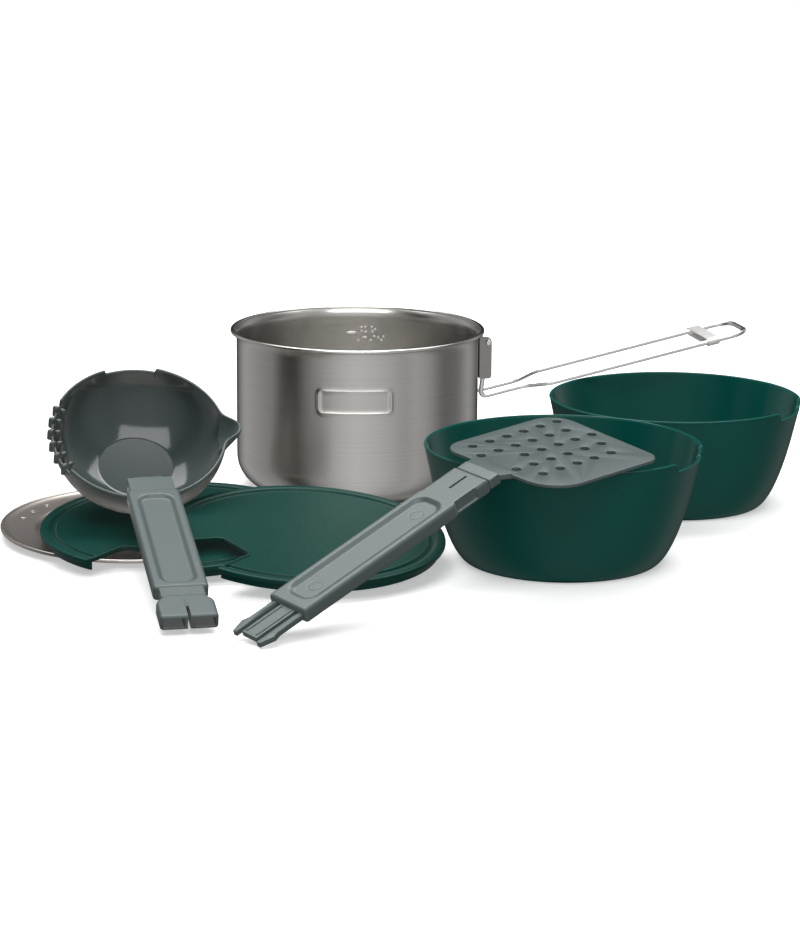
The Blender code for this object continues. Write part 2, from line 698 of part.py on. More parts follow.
def make_blade():
    """A flat perforated blade, its neck with a stop ridge, and the plug for the handle's collar."""
    near = BLADE_NECK
    far = near + BLADE_LENGTH
    left = BLADE_SHIFT + BLADE_HALF_WIDTH
    right = BLADE_SHIFT - BLADE_HALF_WIDTH
    corners = [(near, right), (far, right), (far + BLADE_SKEW, left), (near, left)]
    outline = round_outline(corners, [0.022, 0.010, 0.016, 0.013], 6)
    blade = piece("spatula_blade", plate_mesh("spatula_blade", outline, -BLADE_THICK, 0), GREY, spatula_frame)
    throat = [(-0.0010, -0.0130), (near + 0.004, -0.0175)]
    throat += [(near + 0.004, 0.0175), (-0.0010, 0.0130)]
    join(blade, slab("blade_throat", throat, -BLADE_THICK - 0.0010, 0.0004, spatula_frame))
    neck = box_outline(-0.0005, COLLAR_START + PLUG_LENGTH, PLUG_HALF, 0.0008, 2)
    join(blade, slab("blade_plug", neck, -PLUG_THICK / 2, PLUG_THICK / 2, spatula_handle))
    ridge = box_outline(-0.0012, COLLAR_START - GAP, PLUG_HALF + 0.0016, 0.0008, 2)
    join(blade, slab("stop_ridge", ridge, -0.0030, 0.0030, spatula_handle))
    rows = [(0, 6), (-0.5, 6), (1, 5), (-0.5, 6), (0, 5)]
    for row, (first, count) in enumerate(rows):
        for i in range(count):
            x = near + 0.0142 + (first + i) * BLADE_HOLE_PITCH
            y = left - 0.0110 - row * BLADE_ROW_PITCH
            name = f"hole_{row + 1}_{i + 1}"
            hole = rod_mesh(name, (x, y, -0.01), (x, y, 0.01), BLADE_HOLE_R, 12)
            cut(blade, tool(name, hole, spatula_frame))


def make_spatula_sleeve():
    """The extension handle: collar with a slit and side windows, then a hollow sleeve with a pill recess."""
    half = HANDLE_WIDTH / 2
    low = -HANDLE_THICK / 2
    high = HANDLE_THICK / 2
    outline = box_outline(COLLAR_START + 0.0260, SLEEVE_END, half, 0.0030)
    sleeve = piece("spatula_handle", plate_mesh("spatula_handle", outline, low, high), GREY, spatula_handle)
    collar = box_outline(COLLAR_START, COLLAR_START + 0.0320, half - 0.0012, 0.0020)
    join(sleeve, slab("collar", collar, low, high, spatula_handle))
    pocket_end = COLLAR_START + PLUG_LENGTH + 0.0010
    pocket_half = PLUG_HALF + GAP
    pocket_thick = PLUG_THICK / 2 + GAP
    low_corner = (0, -pocket_half, -pocket_thick)
    pocket = box_mesh("collar_pocket", low_corner, (pocket_end, pocket_half, pocket_thick))
    cut(sleeve, tool("collar_pocket", pocket, spatula_handle))
    for side in (-1, 1):
        window = box_outline(0.0150, 0.0290, 0.0035, 0.0015)
        cutter = slab(f"window_{side}", window, -pocket_thick, pocket_thick, spatula_handle)
        cutter.location.y = side * (half + 0.0005)
        cut(sleeve, cutter)
    slit = box_mesh("collar_slit", (0.0110, -0.0008, 0), (0.0240, 0.0008, 0.02))
    cut(sleeve, tool("collar_slit", slit, spatula_handle))
    recess(sleeve, "sleeve_recess", 0.0370, SLEEVE_END - 0.0080, 0.0080, 0.0012, high, spatula_handle)
    hollow_half = half - SLEEVE_WALL
    low_corner = (0.0400, -hollow_half, low + SLEEVE_FLOOR)
    high_corner = (SLEEVE_END + 0.01, hollow_half, high - SLEEVE_ROOF)
    hollow = box_mesh("sleeve_hollow", low_corner, high_corner)
    cut(sleeve, tool("sleeve_hollow", hollow, spatula_handle))


def make_prongs():
    """The insert in the sleeve's hollow end, with one wide and two barbed narrow prongs."""
    half = HANDLE_WIDTH / 2 - SLEEVE_WALL - GAP
    low = -HANDLE_THICK / 2 + SLEEVE_FLOOR + GAP
    high = HANDLE_THICK / 2 - SLEEVE_ROOF - GAP
    root = box_outline(0.0900, SLEEVE_END - 0.0060, half, 0.0008, 2)
    prongs = piece("spatula_prongs", plate_mesh("spatula_prongs", root, low, high), GREY, spatula_handle)
    middle = box_outline(SLEEVE_END - 0.0100, PRONG_END - 0.0020, 0.0062, 0.0012, 3)
    join(prongs, slab("middle_prong", middle, low, high, spatula_handle))
    for side in (-1, 1):
        inner = half - 0.0040
        barb = PRONG_END - 0.0090
        corners = [(SLEEVE_END - 0.0100, inner), (PRONG_END, inner), (PRONG_END, half - 0.0014)]
        corners += [(barb, half + 0.0016), (barb, half), (SLEEVE_END - 0.0100, half)]
        outline = [(x, side * y) for x, y in corners]
        join(prongs, slab(f"outer_prong_{side}", outline, low, high, spatula_handle))


# ---- build ---------------------------------------------------------------------------

make_pot()
make_bracket()
make_wire()
make_clip()
make_steel_lid()
make_board("small_board_lid", SMALL_BOARD_AT, -108)
make_board("large_board_lid", LARGE_BOARD_AT, -142.9)
make_bowl("large_bowl", LARGE_BOWL_SCALE, LARGE_BOWL_AT)
make_bowl("small_bowl", 1, SMALL_BOWL_AT)
make_ladle_bowl()
make_ladle_pin()
make_ladle_handle()
make_blade()
make_spatula_sleeve()
make_prongs()
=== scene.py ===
"""Camping cook set: pot with a wire handle, lid, two bowls, two board lids, ladle and spatula."""

from math import cos, pi, radians, sin

import bmesh
import bpy
import numpy as np
from mathutils import Euler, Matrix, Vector


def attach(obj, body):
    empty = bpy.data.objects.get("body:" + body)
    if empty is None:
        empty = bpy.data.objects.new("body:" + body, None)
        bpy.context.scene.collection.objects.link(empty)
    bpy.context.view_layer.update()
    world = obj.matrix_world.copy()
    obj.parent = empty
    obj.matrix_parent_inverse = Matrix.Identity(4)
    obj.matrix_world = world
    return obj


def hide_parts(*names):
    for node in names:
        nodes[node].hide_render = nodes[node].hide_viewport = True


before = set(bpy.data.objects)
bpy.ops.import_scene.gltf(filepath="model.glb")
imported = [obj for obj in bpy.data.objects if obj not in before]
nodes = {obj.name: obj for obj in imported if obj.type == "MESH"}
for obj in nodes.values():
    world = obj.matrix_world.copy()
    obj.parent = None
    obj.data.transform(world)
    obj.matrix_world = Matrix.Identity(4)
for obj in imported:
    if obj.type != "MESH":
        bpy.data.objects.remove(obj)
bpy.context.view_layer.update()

# ---- Pot ---------------------------------------------------------------------------------------
# A straight-sided cooking pot drawn from one stainless sheet, with its rim rolled outwards and its
# sides brushed round and round. A plate is stamped into the front, and fill marks into the back wall.


def arc(centre, radius, start, end, count):
    """Points of a circle of this radius, from start to end in degrees: centre + radius (cos, sin)."""
    angle = np.radians(np.linspace(start, end, count))
    return np.stack([centre[0] + radius * np.cos(angle), centre[1] + radius * np.sin(angle)], 1)


def turned(profile, angles):
    """A profile of (r, z) carried round Z: (r cos a, r sin a, z), one row a profile point."""
    r, z = profile[:, :1], profile[:, 1:]
    ones = np.ones(len(angles))
    return np.stack([r * np.cos(angles), r * np.sin(angles), z * ones], 2)


def faces_of(rows, columns, loop):
    """Four-sided faces of a grid whose columns run round, and whose rows run round if it is a loop."""
    last = rows if loop else rows - 1
    i, j = np.meshgrid(np.arange(last), np.arange(columns), indexing="ij")
    k, m = (i + 1) % rows, (j + 1) % columns
    return np.stack([i * columns + j, k * columns + j, k * columns + m, i * columns + m], 2).reshape(-1, 4)


def skin(name, grids, loop=False, sharp=35):
    """One mesh from grids of points, with poles and seams merged and its faces turned outwards."""
    points, quads, start = [], [], 0
    for grid in grids:
        points.append(grid.reshape(-1, 3))
        quads.append(faces_of(grid.shape[0], grid.shape[1], loop) + start)
        start += points[-1].shape[0]
    mesh = bpy.data.meshes.new(name)
    mesh.from_pydata(np.concatenate(points).tolist(), [], np.concatenate(quads).tolist())
    work = bmesh.new()
    work.from_mesh(mesh)
    bmesh.ops.remove_doubles(work, verts=work.verts, dist=2e-7)
    bmesh.ops.dissolve_degenerate(work, edges=work.edges, dist=1e-8)
    bmesh.ops.recalc_face_normals(work, faces=work.faces)
    work.to_mesh(mesh)
    work.free()
    mesh.shade_smooth()
    mesh.set_sharp_from_angle(angle=radians(sharp))
    return mesh


def dressed(name, mesh, paint, body):
    """A piece in the scene with its material, which rides on its body."""
    piece = bpy.data.objects.new(name, mesh)
    bpy.context.scene.collection.objects.link(piece)
    mesh.materials.clear()
    mesh.materials.append(paint)
    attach(piece, body)
    return piece


def shown(name, mesh, paint, body, node, slot):
    """A piece that stands for its CAD node. Only steel pieces show in reflections."""
    piece = dressed(name, mesh, paint, body)
    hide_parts(node)
    piece.visible_glossy = slot == "steel"
    return piece


def rounded_box_distance(x, y, half_x, half_y, corner):
    """Signed distance from a rounded rectangle: outside it is above 0."""
    dx, dy = np.abs(x) - half_x + corner, np.abs(y) - half_y + corner
    outside = np.hypot(np.maximum(dx, 0), np.maximum(dy, 0))
    return outside + np.minimum(np.maximum(dx, dy), 0) - corner


def ease(low, high, value):
    """0 below low and 1 above high, with a smooth 3 t^2 - 2 t^3 step between."""
    t = np.clip((value - low) / (high - low), 0, 1)
    return t * t * (3 - 2 * t)


def added(tree, kind, inputs, **options):
    """A new node: its options first, then each input set to a value or linked from another node's output."""
    node = tree.nodes.new(kind)
    for option, value in options.items():
        setattr(node, option, value)
    for name, value in inputs.items():
        if isinstance(value, bpy.types.NodeSocket):
            tree.links.new(value, node.inputs[name])
        else:
            node.inputs[name].default_value = value
    return node


def finished(tree, colour, rough, normal):
    """Links a material's three results to its shader."""
    inputs = tree.nodes["Principled BSDF"].inputs
    for name, output in (("Base Color", colour), ("Roughness", rough), ("Normal", normal)):
        tree.links.new(output, inputs[name])


def tinted(colour, factor):
    """A colour made lighter or darker, with alpha."""
    return (*[min(1, c * factor) for c in colour], 1)


def metal(name, colour, rough, grain, turn_grain, relief):
    """Brushed metal: fine lines across the grain in the roughness, colour and bump, and radial gloss."""
    paint = bpy.data.materials.new(name)
    paint.use_nodes = True
    tree = paint.node_tree
    shader = tree.nodes["Principled BSDF"]
    shader.inputs["Metallic"].default_value = 1
    shader.inputs["Anisotropic"].default_value = 0.7 if turn_grain else 0.0
    shader.inputs["Anisotropic Rotation"].default_value = 0.25 if turn_grain else 0.0
    place = tree.nodes.new("ShaderNodeTexCoord").outputs["Object"]
    stretch = added(tree, "ShaderNodeMapping", {"Vector": place, "Scale": grain}).outputs["Vector"]
    noise = {"Vector": stretch, "Scale": 1, "Detail": 2, "Roughness": 0.65}
    lines = added(tree, "ShaderNodeTexNoise", noise).outputs["Fac"]
    spread = {"Value": lines, "From Min": 0.3, "From Max": 0.7}
    tone = added(tree, "ShaderNodeMapRange", spread).outputs["Result"]
    tones = {"Factor": tone, "A": tinted(colour, 0.96), "B": tinted(colour, 1.04)}
    colours = added(tree, "ShaderNodeMix", tones, data_type="RGBA").outputs["Result"]
    gloss = added(tree, "ShaderNodeMapRange", {**spread, "To Min": rough * 0.97, "To Max": rough * 1.04})
    if turn_grain:
        around = added(tree, "ShaderNodeTangent", {}, direction_type="RADIAL", axis="Z")
        tree.links.new(around.outputs["Tangent"], shader.inputs["Tangent"])
    bump = added(tree, "ShaderNodeBump", {"Strength": relief, "Distance": 0.00005, "Height": lines})
    finished(tree, colours, gloss.outputs["Result"], bump.outputs["Normal"])
    return paint


pot_steel = metal("pot_steel", (0.60, 0.585, 0.56), 0.26, (4, 4, 2300), True, 0.008)

rim_r, wall_r, height = 0.0800, 0.0762, 0.1013
sheet, corner_r, bead_r = 0.0009, 0.0209, 0.0013
bead = (rim_r - bead_r, height - bead_r)
plate_turn, plate_z = radians(-90.3), 0.0685

inside_r = wall_r - sheet
pot_inside = np.concatenate([
    [[0, sheet], [0.030, sheet]],
    arc((inside_r - corner_r + sheet, corner_r), corner_r - sheet, -90, 0, 16),
    np.stack([np.full(14, inside_r), np.linspace(0.026, bead[1] - 0.0060, 14)], 1),
    [[inside_r + 0.0001, bead[1] - 0.0036], [inside_r + 0.0007, bead[1] - 0.0018]],
])
pot_rim = arc(bead, bead_r, 190, -80, 18)
pot_outside = np.concatenate([
    [[wall_r + 0.0007, bead[1] - 0.0018], [wall_r + 0.0002, bead[1] - 0.0034]],
    np.stack([np.full(70, wall_r), np.linspace(bead[1] - 0.0055, 0.0215, 70)], 1),
    arc((wall_r - corner_r, corner_r), corner_r, 0, -90, 18),
    [[0.030, 0], [0, 0]],
])
pot_profile = np.concatenate([pot_inside, pot_rim, pot_outside])
plate_half_turn = 0.37
plate_arc = np.linspace(-plate_half_turn, plate_half_turn, 130) + plate_turn
rest_arc = np.linspace(plate_half_turn, 2 * pi - plate_half_turn, 152)[1:-1] + plate_turn
pot_angles = np.concatenate([plate_arc, rest_arc])
pot_points = turned(pot_profile, pot_angles)

first = len(pot_inside) + len(pot_rim) + 2
wall_rows = slice(first, first + 70)
across = (pot_angles[None, :] - plate_turn) * wall_r
up = pot_points[wall_rows, :, 2] - plate_z
off = rounded_box_distance(across, up, 0.0236, 0.0080, 0.0038)
stamp = 0.0008 * np.exp(-(((off + 0.0011) / 0.0012) ** 2)) - 0.0001 * (1 - ease(-0.003, -0.001, off))
pot_points[wall_rows, :, :2] *= (1 + stamp / wall_r)[:, :, None]


def bumps(centres, wide, high, deep, normal, side, upward):
    """Small domes: half-ellipsoids at the centres, each a grid of bearing and height angle."""
    bearing = np.linspace(0, 2 * pi, 13)[:-1]
    lift = np.linspace(-0.35, pi / 2, 6)[:, None]
    shape = (
        (np.cos(lift) * np.cos(bearing) * wide)[..., None] * side
        + (np.cos(lift) * np.sin(bearing) * high)[..., None] * upward
        + (np.sin(lift) * np.ones(12) * deep)[..., None] * normal
    )
    base = (np.cos(lift[:1]) * 0 * bearing)[..., None] * side - 0.35 * deep * normal
    return [np.concatenate([base, shape]) + c for c in centres]


def fill_marks():
    """Two rows of a dash, dots and strokes on the far wall: (aside, above, half width, half height) in mm."""
    upper = ((-5.0, 0.0, 3.6, 1.0), (1.5, 3.6, 0.9, 0.8), (4.0, 3.6, 0.9, 0.8), (8.2, 3.9, 0.9, 0.8),
             (10.4, 2.4, 0.8, 0.9), (1.5, 1.0, 0.9, 0.8), (4.3, 0.6, 1.1, 0.7), (8.6, 0.8, 0.9, 0.8))
    lower = ((3.6, 0.2, 1.6, 0.7), (-0.4, -1.9, 0.9, 0.8), (7.6, -1.8, 1.0, 0.8), (9.8, 0.8, 0.9, 0.8),
             (12.6, 0.2, 0.9, 0.8), (14.6, -1.4, 0.8, 0.9), (16.0, 0.9, 0.8, 0.8))
    found = []
    for height, shapes in ((0.0840, upper), (0.0808, lower)):
        for aside, above, wide, high in shapes:
            bearing = pi / 2 - aside / 1000 / inside_r
            normal = np.array([-cos(bearing), -sin(bearing), 0.0])
            side = np.array([sin(bearing), -cos(bearing), 0.0])
            centre = -normal * (inside_r + 0.0001) + [0, 0, height + above / 1000]
            found += bumps([centre], wide / 1000, high / 1000, 0.0006, normal, side, np.array([0, 0, 1.0]))
    return found


shown("pot_shell", skin("pot_shell", [pot_points]), pot_steel, "pot", "pot_body", "steel")
mark_steel = metal("mark_steel", (0.95, 0.95, 0.94), 0.55, (300, 300, 300), False, 0.0)
dressed("pot_fill_marks", skin("pot_fill_marks", fill_marks()), mark_steel, "pot")

bracket_steel = metal("bracket_steel", (0.34, 0.33, 0.32), 0.24, (300, 300, 900), False, 0.08)
nodes["handle_bracket"].data.materials.clear()
nodes["handle_bracket"].data.materials.append(bracket_steel)

# ---- Pot handle ----------------------------------------------------------------------------------
# One stainless wire, bent into a long loop: its two ends turn in the bracket's flanges, its heel
# rests on the pot's wall, and a folded sheet clip slides along the two runs.


def placed(points, location, rotation, order="XYZ"):
    """Points moved into a frame with this location and these turns in radians."""
    turn = np.array(Euler(rotation, order).to_matrix())
    return points @ turn.T + np.array(location)


def smooth_path(controls, count):
    """A Catmull-Rom curve through the controls, evenly spaced along its length."""
    p = np.concatenate([[2 * controls[0] - controls[1]], controls, [2 * controls[-1] - controls[-2]]])
    t = np.linspace(0, len(controls) - 1 - 1e-9, count * 6)
    i = t.astype(int)
    t = (t - i)[:, None]
    a, b, c, d = p[i], p[i + 1], p[i + 2], p[i + 3]
    line = 0.5 * (2 * b + (c - a) * t + (2 * a - 5 * b + 4 * c - d) * t**2 + (3 * b - a - 3 * c + d) * t**3)
    run = np.concatenate([[0], np.cumsum(np.linalg.norm(np.diff(line, axis=0), axis=1))])
    even = np.linspace(0, run[-1], count)
    return np.stack([np.interp(even, run, line[:, k]) for k in range(3)], 1)


def capped(rows, first, last):
    """A grid closed at each end by a row whose points all lie at one place."""
    ones = np.ones((1, rows.shape[1], 1))
    return np.concatenate([ones * first, rows, ones * last])


def tube(path, radius, sides, reference):
    """A round wire: radius (cos v, sin v) across the path's two normals, with domed ends."""
    along = np.gradient(path, axis=0)
    along /= np.linalg.norm(along, axis=1)[:, None]
    one = np.cross(along, reference)
    one /= np.linalg.norm(one, axis=1)[:, None]
    two = np.cross(along, one)
    v = np.linspace(0, 2 * pi, sides + 1)[:-1]
    ring = one[:, None] * np.cos(v)[:, None] + two[:, None] * np.sin(v)[:, None]
    dome = radius * 0.5
    return capped(path[:, None] + ring * radius, path[0] - along[0] * dome, path[-1] + along[-1] * dome)


wire_r, gap = 0.0015, 0.0003
azimuth = radians(13)
pivot = np.array([rim_r + wire_r + 2 * gap + 0.0001, 0, 0.0908])
heel = np.array([wall_r + wire_r + gap - pivot[0], 0, -0.0356])
rise = radians(12.2)
arm = np.array([cos(rise), 0, sin(rise)])
leg_gap, arm_gap, arm_length, end_r = 0.0090, 0.0193, 0.1790, 0.0110


def half_wire():
    """The wire's run on one side: stub through the flange, leg, heel, S-bend and half of the end."""
    down = heel / np.linalg.norm(heel)
    stub = np.array([[0, leg_gap + 0.0046, 0], [0, leg_gap + 0.0028, 0], [0, leg_gap + 0.0015, -0.0001]])
    leg = heel * np.array([[0.03], [0.07], [0.20], [0.50], [0.80]]) + [0, leg_gap, 0]
    t = np.linspace(0, 1, 7)[:, None]
    bend = heel - down * 0.0050 * (1 - t) ** 2 + arm * 0.0050 * t**2 + [0, leg_gap, 0]
    along = np.concatenate([[0.012, 0.020], np.linspace(0.026, 0.048, 9), [0.07, 0.10, 0.13, 0.155]])
    s = ease(0.026, 0.048, along)
    run = heel + arm * along[:, None] + np.stack([0 * s, leg_gap + (arm_gap - leg_gap) * s, 0 * s], 1)
    end = arc((arm_length - end_r, arm_gap - end_r), end_r, 90, 0, 9)
    end = heel + arm * end[:, :1] + np.stack([0 * end[:, 1], end[:, 1], 0 * end[:, 1]], 1)
    return np.concatenate([stub, leg, bend, run, end])


near = half_wire()
wire_line = smooth_path(np.concatenate([near, near[::-1] * [1, -1, 1]]), 620)
wire_grid = placed(tube(wire_line, wire_r, 18, np.array([1, 1, 1])) + pivot, (0, 0, 0), (0, 0, azimuth))
wire_steel = metal("wire_steel", (0.88, 0.875, 0.86), 0.24, (260, 260, 260), False, 0.04)
shown("pot_handle", skin("pot_handle", [wire_grid]), wire_steel, "pot_handle", "pot_handle_wire", "wire")


def clip_grid():
    """The clip's section, a thin rounded strip, carried round a flat loop about both wires."""
    inner, outer, half = wire_r + gap, wire_r + gap + 0.0008, 0.0040
    loop = np.concatenate([arc((0, arm_gap), 1, 0, 180, 17), arc((0, -arm_gap), 1, 180, 360, 17)])
    centre = np.where(np.arange(34)[:, None] < 17, [[0, arm_gap]], [[0, -arm_gap]])
    normal = loop - centre
    e = 0.00025
    strip = np.array([[inner, -half + e], [inner + e, -half], [outer - e, -half], [outer, -half + e],
                      [outer, half - e], [outer - e, half], [inner + e, half], [inner, half - e]])
    flat = centre[:, None] + normal[:, None] * strip[None, :, :1]
    return np.stack([np.broadcast_to(strip[None, :, 1], flat.shape[:2]), flat[..., 1], flat[..., 0]], 2)


clip_steel = metal("clip_steel", (0.80, 0.79, 0.77), 0.48, (260, 260, 260), False, 0.04)
clip_at = heel + arm * 0.1545
clip_points = placed(placed(clip_grid(), clip_at, (0, -rise, 0)) + pivot, (0, 0, 0), (0, 0, azimuth))
clip_mesh = skin("handle_slide_clip", [clip_points], loop=True)
shown("handle_slide_clip", clip_mesh, clip_steel, "clip", "handle_clip", "wire")

# ---- Steel lid -----------------------------------------------------------------------------------
# A flat lid pressed from thin stainless sheet: rolled rim, a raised ring with three small vents,
# and a middle panel that steps down. It is turned on a press, so its grain runs round; here the grain is only a
# fine even speckle.

steel_lid_at = (-0.1286, -0.1326, 0.0024), (radians(2.0), 0, 0)


def softened(points, sizes, count=5):
    """A chain of points with each corner replaced by a quadratic curve that starts its size before it."""
    points = np.array(points, float)
    found = [points[:1]]
    t = np.linspace(0, 1, count)[:, None]
    for before, here, after, size in zip(points[:-2], points[1:-1], points[2:], sizes):
        a, b = before - here, after - here
        reach_a = min(size, np.linalg.norm(a) * 0.48)
        reach_b = min(size, np.linalg.norm(b) * 0.48)
        start, end = here + a / np.linalg.norm(a) * reach_a, here + b / np.linalg.norm(b) * reach_b
        found.append(start * (1 - t) ** 2 + here * 2 * t * (1 - t) + end * t**2)
    return np.concatenate(found + [points[-1:]])


lid_r, lid_high, panel_r = 0.0806, 0.0055, 0.0570
lid_profile = np.concatenate([
    softened([[0, sheet], [panel_r, sheet], [panel_r + 0.0030, 0.0036], [lid_r - 0.0048, 0.0036],
              [lid_r - 0.0022, 0.0046]],
             [0.0016, 0.0016, 0.0014]),
    arc((lid_r - 0.0011, lid_high - 0.0011), 0.0011, 160, -90, 14),
    softened([[lid_r - 0.0040, 0.0034], [lid_r - 0.0052, 0.0027], [panel_r + 0.0036, 0.0027],
              [panel_r + 0.0006, 0], [0, 0]],
             [0.0010, 0.0014, 0.0014]),
])
round_angles = np.linspace(0, 2 * pi, 241)[:-1]


def cutter(name, grids):
    """Closed shapes that a piece is cut by: not part of the set, and removed after the cut."""
    shape = bpy.data.objects.new(name, skin(name, grids))
    bpy.context.scene.collection.objects.link(shape)
    return shape


def carved(name, mesh, shapes):
    """The mesh with these shapes taken out of it."""
    holder = bpy.data.objects.new(name, mesh)
    bpy.context.scene.collection.objects.link(holder)
    for shape in shapes:
        step = holder.modifiers.new("carve", "BOOLEAN")
        step.operation = "DIFFERENCE"
        step.solver = "EXACT"
        step.object = shape
    bpy.context.view_layer.update()
    done = bpy.data.meshes.new_from_object(holder.evaluated_get(bpy.context.evaluated_depsgraph_get()))
    for old in [holder, *shapes]:
        bpy.data.objects.remove(old, do_unlink=True)
    done.name = name
    done.shade_smooth()
    done.set_sharp_from_angle(angle=radians(35))
    return done


def drill(x, y, low, high, radius, flare):
    """A round cutter along Z whose ends open out by flare, so that the hole it leaves has soft edges."""
    t = np.linspace(0, pi / 2, 4)
    top = np.stack([radius + flare * (1 - np.cos(t)), high - flare + flare * np.sin(t)], 1)
    bottom = top[::-1] * [1, -1] + [0, high + low]
    wide, past = top[-1, 0], 0.002
    start, end = [[0, low - past], [wide, low - past]], [[wide, high + past], [0, high + past]]
    profile = np.concatenate([start, bottom, top, end])
    return turned(profile, np.linspace(0, 2 * pi, 29)[:-1]) + [x, y, 0]


vent_turns, vent_ring = np.radians([146.5, 158.8, 171.0]), 0.0695
vents = [drill(vent_ring * cos(a), vent_ring * sin(a), 0.0027, 0.0036, 0.0016, 0.0003) for a in vent_turns]
lid_mesh = skin("steel_lid_sheet", [turned(lid_profile, round_angles)])
lid_mesh = carved("steel_lid_sheet", lid_mesh, [cutter("vents", vents)])


def settle(mesh, *place):
    """Moves a mesh from its own frame to where it lies in the set."""
    points = np.empty(len(mesh.vertices) * 3)
    mesh.vertices.foreach_get("co", points)
    mesh.vertices.foreach_set("co", placed(points.reshape(-1, 3), *place).ravel())
    mesh.update()
    return mesh


lid_steel = metal("lid_steel", (0.50, 0.46, 0.43), 0.34, (700, 700, 40), False, 0.18)
shown("steel_lid_sheet", settle(lid_mesh, *steel_lid_at), lid_steel, "lid", "steel_lid", "steel")

# ---- Board lids ----------------------------------------------------------------------------------
# Each bowl's lid is moulded in dark green plastic and doubles as a cutting board: a finely ribbed
# panel, a juice groove inside a soft rim, a skirt that grips the bowl, and a notch for a utensil.


def plastic(name, colour, rough, spread, shine=0.5, speck=1400, ribs=None, inner_rough=None, painted_inner_shade=1.0):
    """Moulded plastic: faint mottling, a fine grained bump and, on a board, straight shallow ribs.

    Where a piece is marked as inside, its roughness can be another, and its colour is darkened by
    painted_inner_shade: painted shade for a hollow."""
    paint = bpy.data.materials.new(name)
    paint.use_nodes = True
    tree = paint.node_tree
    shader = tree.nodes["Principled BSDF"]
    shader.inputs["IOR"].default_value = 1.5
    shader.inputs["Specular IOR Level"].default_value = shine
    place = tree.nodes.new("ShaderNodeTexCoord").outputs["Object"]
    mottle = added(tree, "ShaderNodeTexNoise", {"Vector": place, "Scale": 30, "Detail": 5}).outputs["Fac"]
    tones = {"Factor": mottle, "A": tinted(colour, 1 - spread), "B": tinted(colour, 1 + spread)}
    shade = added(tree, "ShaderNodeMix", tones, data_type="RGBA").outputs["Result"]
    levels = {"Value": mottle, "To Min": rough * 0.88, "To Max": rough * 1.12}
    gloss = added(tree, "ShaderNodeMapRange", levels).outputs["Result"]
    if inner_rough is not None:
        inner = added(tree, "ShaderNodeAttribute", {}, attribute_name="inside").outputs["Fac"]
        gloss = added(tree, "ShaderNodeMix", {"Factor": inner, "A": gloss, "B": inner_rough}).outputs["Result"]
        # painted shade: inside points take the colour darkened by painted_inner_shade, in place of the shade
        # that falls in a hollow
        tones = {"Factor": inner, "A": shade, "B": tinted(colour, painted_inner_shade)}
        shade = added(tree, "ShaderNodeMix", tones, data_type="RGBA").outputs["Result"]
    grain = added(tree, "ShaderNodeTexNoise", {"Vector": place, "Scale": speck, "Detail": 2}).outputs["Fac"]
    relief = {"Strength": 0.25, "Distance": 0.00006, "Height": grain}
    bump = added(tree, "ShaderNodeBump", relief).outputs["Normal"]
    if ribs is not None:
        turn = added(tree, "ShaderNodeMapping", {"Rotation": (0, 0, ribs), "Vector": place}).outputs["Vector"]
        bands = {"wave_type": "BANDS", "bands_direction": "X"}
        wave = added(tree, "ShaderNodeTexWave", {"Scale": 330, "Vector": turn}, **bands).outputs["Fac"]
        panel = added(tree, "ShaderNodeAttribute", {}, attribute_name="panel").outputs["Fac"]
        only = added(tree, "ShaderNodeMath", {0: wave, 1: panel}, operation="MULTIPLY").outputs["Value"]
        ridge = {"Strength": 0.5, "Distance": 0.00012, "Height": only, "Normal": bump}
        bump = added(tree, "ShaderNodeBump", ridge).outputs["Normal"]
    finished(tree, shade, gloss, bump)
    return paint


def marked(mesh, attribute, values):
    """Writes one number a point into a named attribute, for the material to read."""
    layer = mesh.attributes.get(attribute) or mesh.attributes.new(attribute, "FLOAT", "POINT")
    layer.data.foreach_set("value", values.astype(np.float32))


def points_of(mesh):
    """A mesh's points as an array."""
    points = np.empty(len(mesh.vertices) * 3)
    mesh.vertices.foreach_get("co", points)
    return points.reshape(-1, 3)


board_green = (0.0015, 0.043, 0.034)
board_r, board_top, panel_thick, skirt_in, skirt_wall = 0.0803, 0.0072, 0.0021, 0.0030, 0.0018
panel_top, groove_r = board_top - 0.0006, board_r - 0.0068
skirt_out = board_r - skirt_in
skirt_back = skirt_out - skirt_wall
board_profile = softened(
    [[0, panel_top], [groove_r - 0.0036, panel_top], [groove_r - 0.0028, panel_top + 0.0003],
     [groove_r - 0.0018, panel_top - 0.0012], [groove_r, panel_top - 0.0012], [groove_r + 0.0016, board_top],
     [board_r, board_top], [board_r, board_top - 0.0024], [board_r - 0.0006, board_top - 0.0029],
     [skirt_out, board_top - 0.0029], [skirt_out - 0.0002, 0], [skirt_back, 0],
     [skirt_back, panel_top - panel_thick], [0, panel_top - panel_thick]],
    [0.001, 0.0006, 0.0006, 0.0007, 0.0016, 0.0018, 0.0005, 0.0004, 0.0004, 0.0005, 0.0005, 0.0005])


def notch_line():
    """The notch's edge, from mouth to mouth: flared mouth corners, straight sides, round inner corners."""
    spread = np.tan(radians(17.5))
    deep, mouth, far = 0.0470, 0.0765, 0.0900
    half = mouth * spread
    chain = [[far, -half - 0.0080], [mouth + 0.0035, -half - 0.0040], [mouth - 0.0045, -half + 0.0010],
             [deep, -deep * spread]]
    chain += [[x, -y] for x, y in reversed(chain)]
    return softened(chain, [0.005, 0.006, 0.005, 0.005, 0.006, 0.005], 9)


def outward(outline):
    """Each outline point's unit normal in the plane."""
    along = np.roll(outline, -1, 0) - np.roll(outline, 1, 0)
    normal = np.stack([along[:, 1], -along[:, 0]], 1)
    return normal / np.maximum(np.linalg.norm(normal, axis=1), 1e-9)[:, None]


def stacked(outline, spread, z):
    """A closed solid: the outline at each z, moved out by its spread, with a flat cap at both ends."""
    rows = outline[None] + outward(outline)[None] * spread[:, None, None]
    walls = np.concatenate([rows, np.broadcast_to(z[:, None, None], (len(z), len(outline), 1))], 2)
    middle = outline.mean(0)
    return capped(walls, [*middle, z[0]], [*middle, z[-1]])


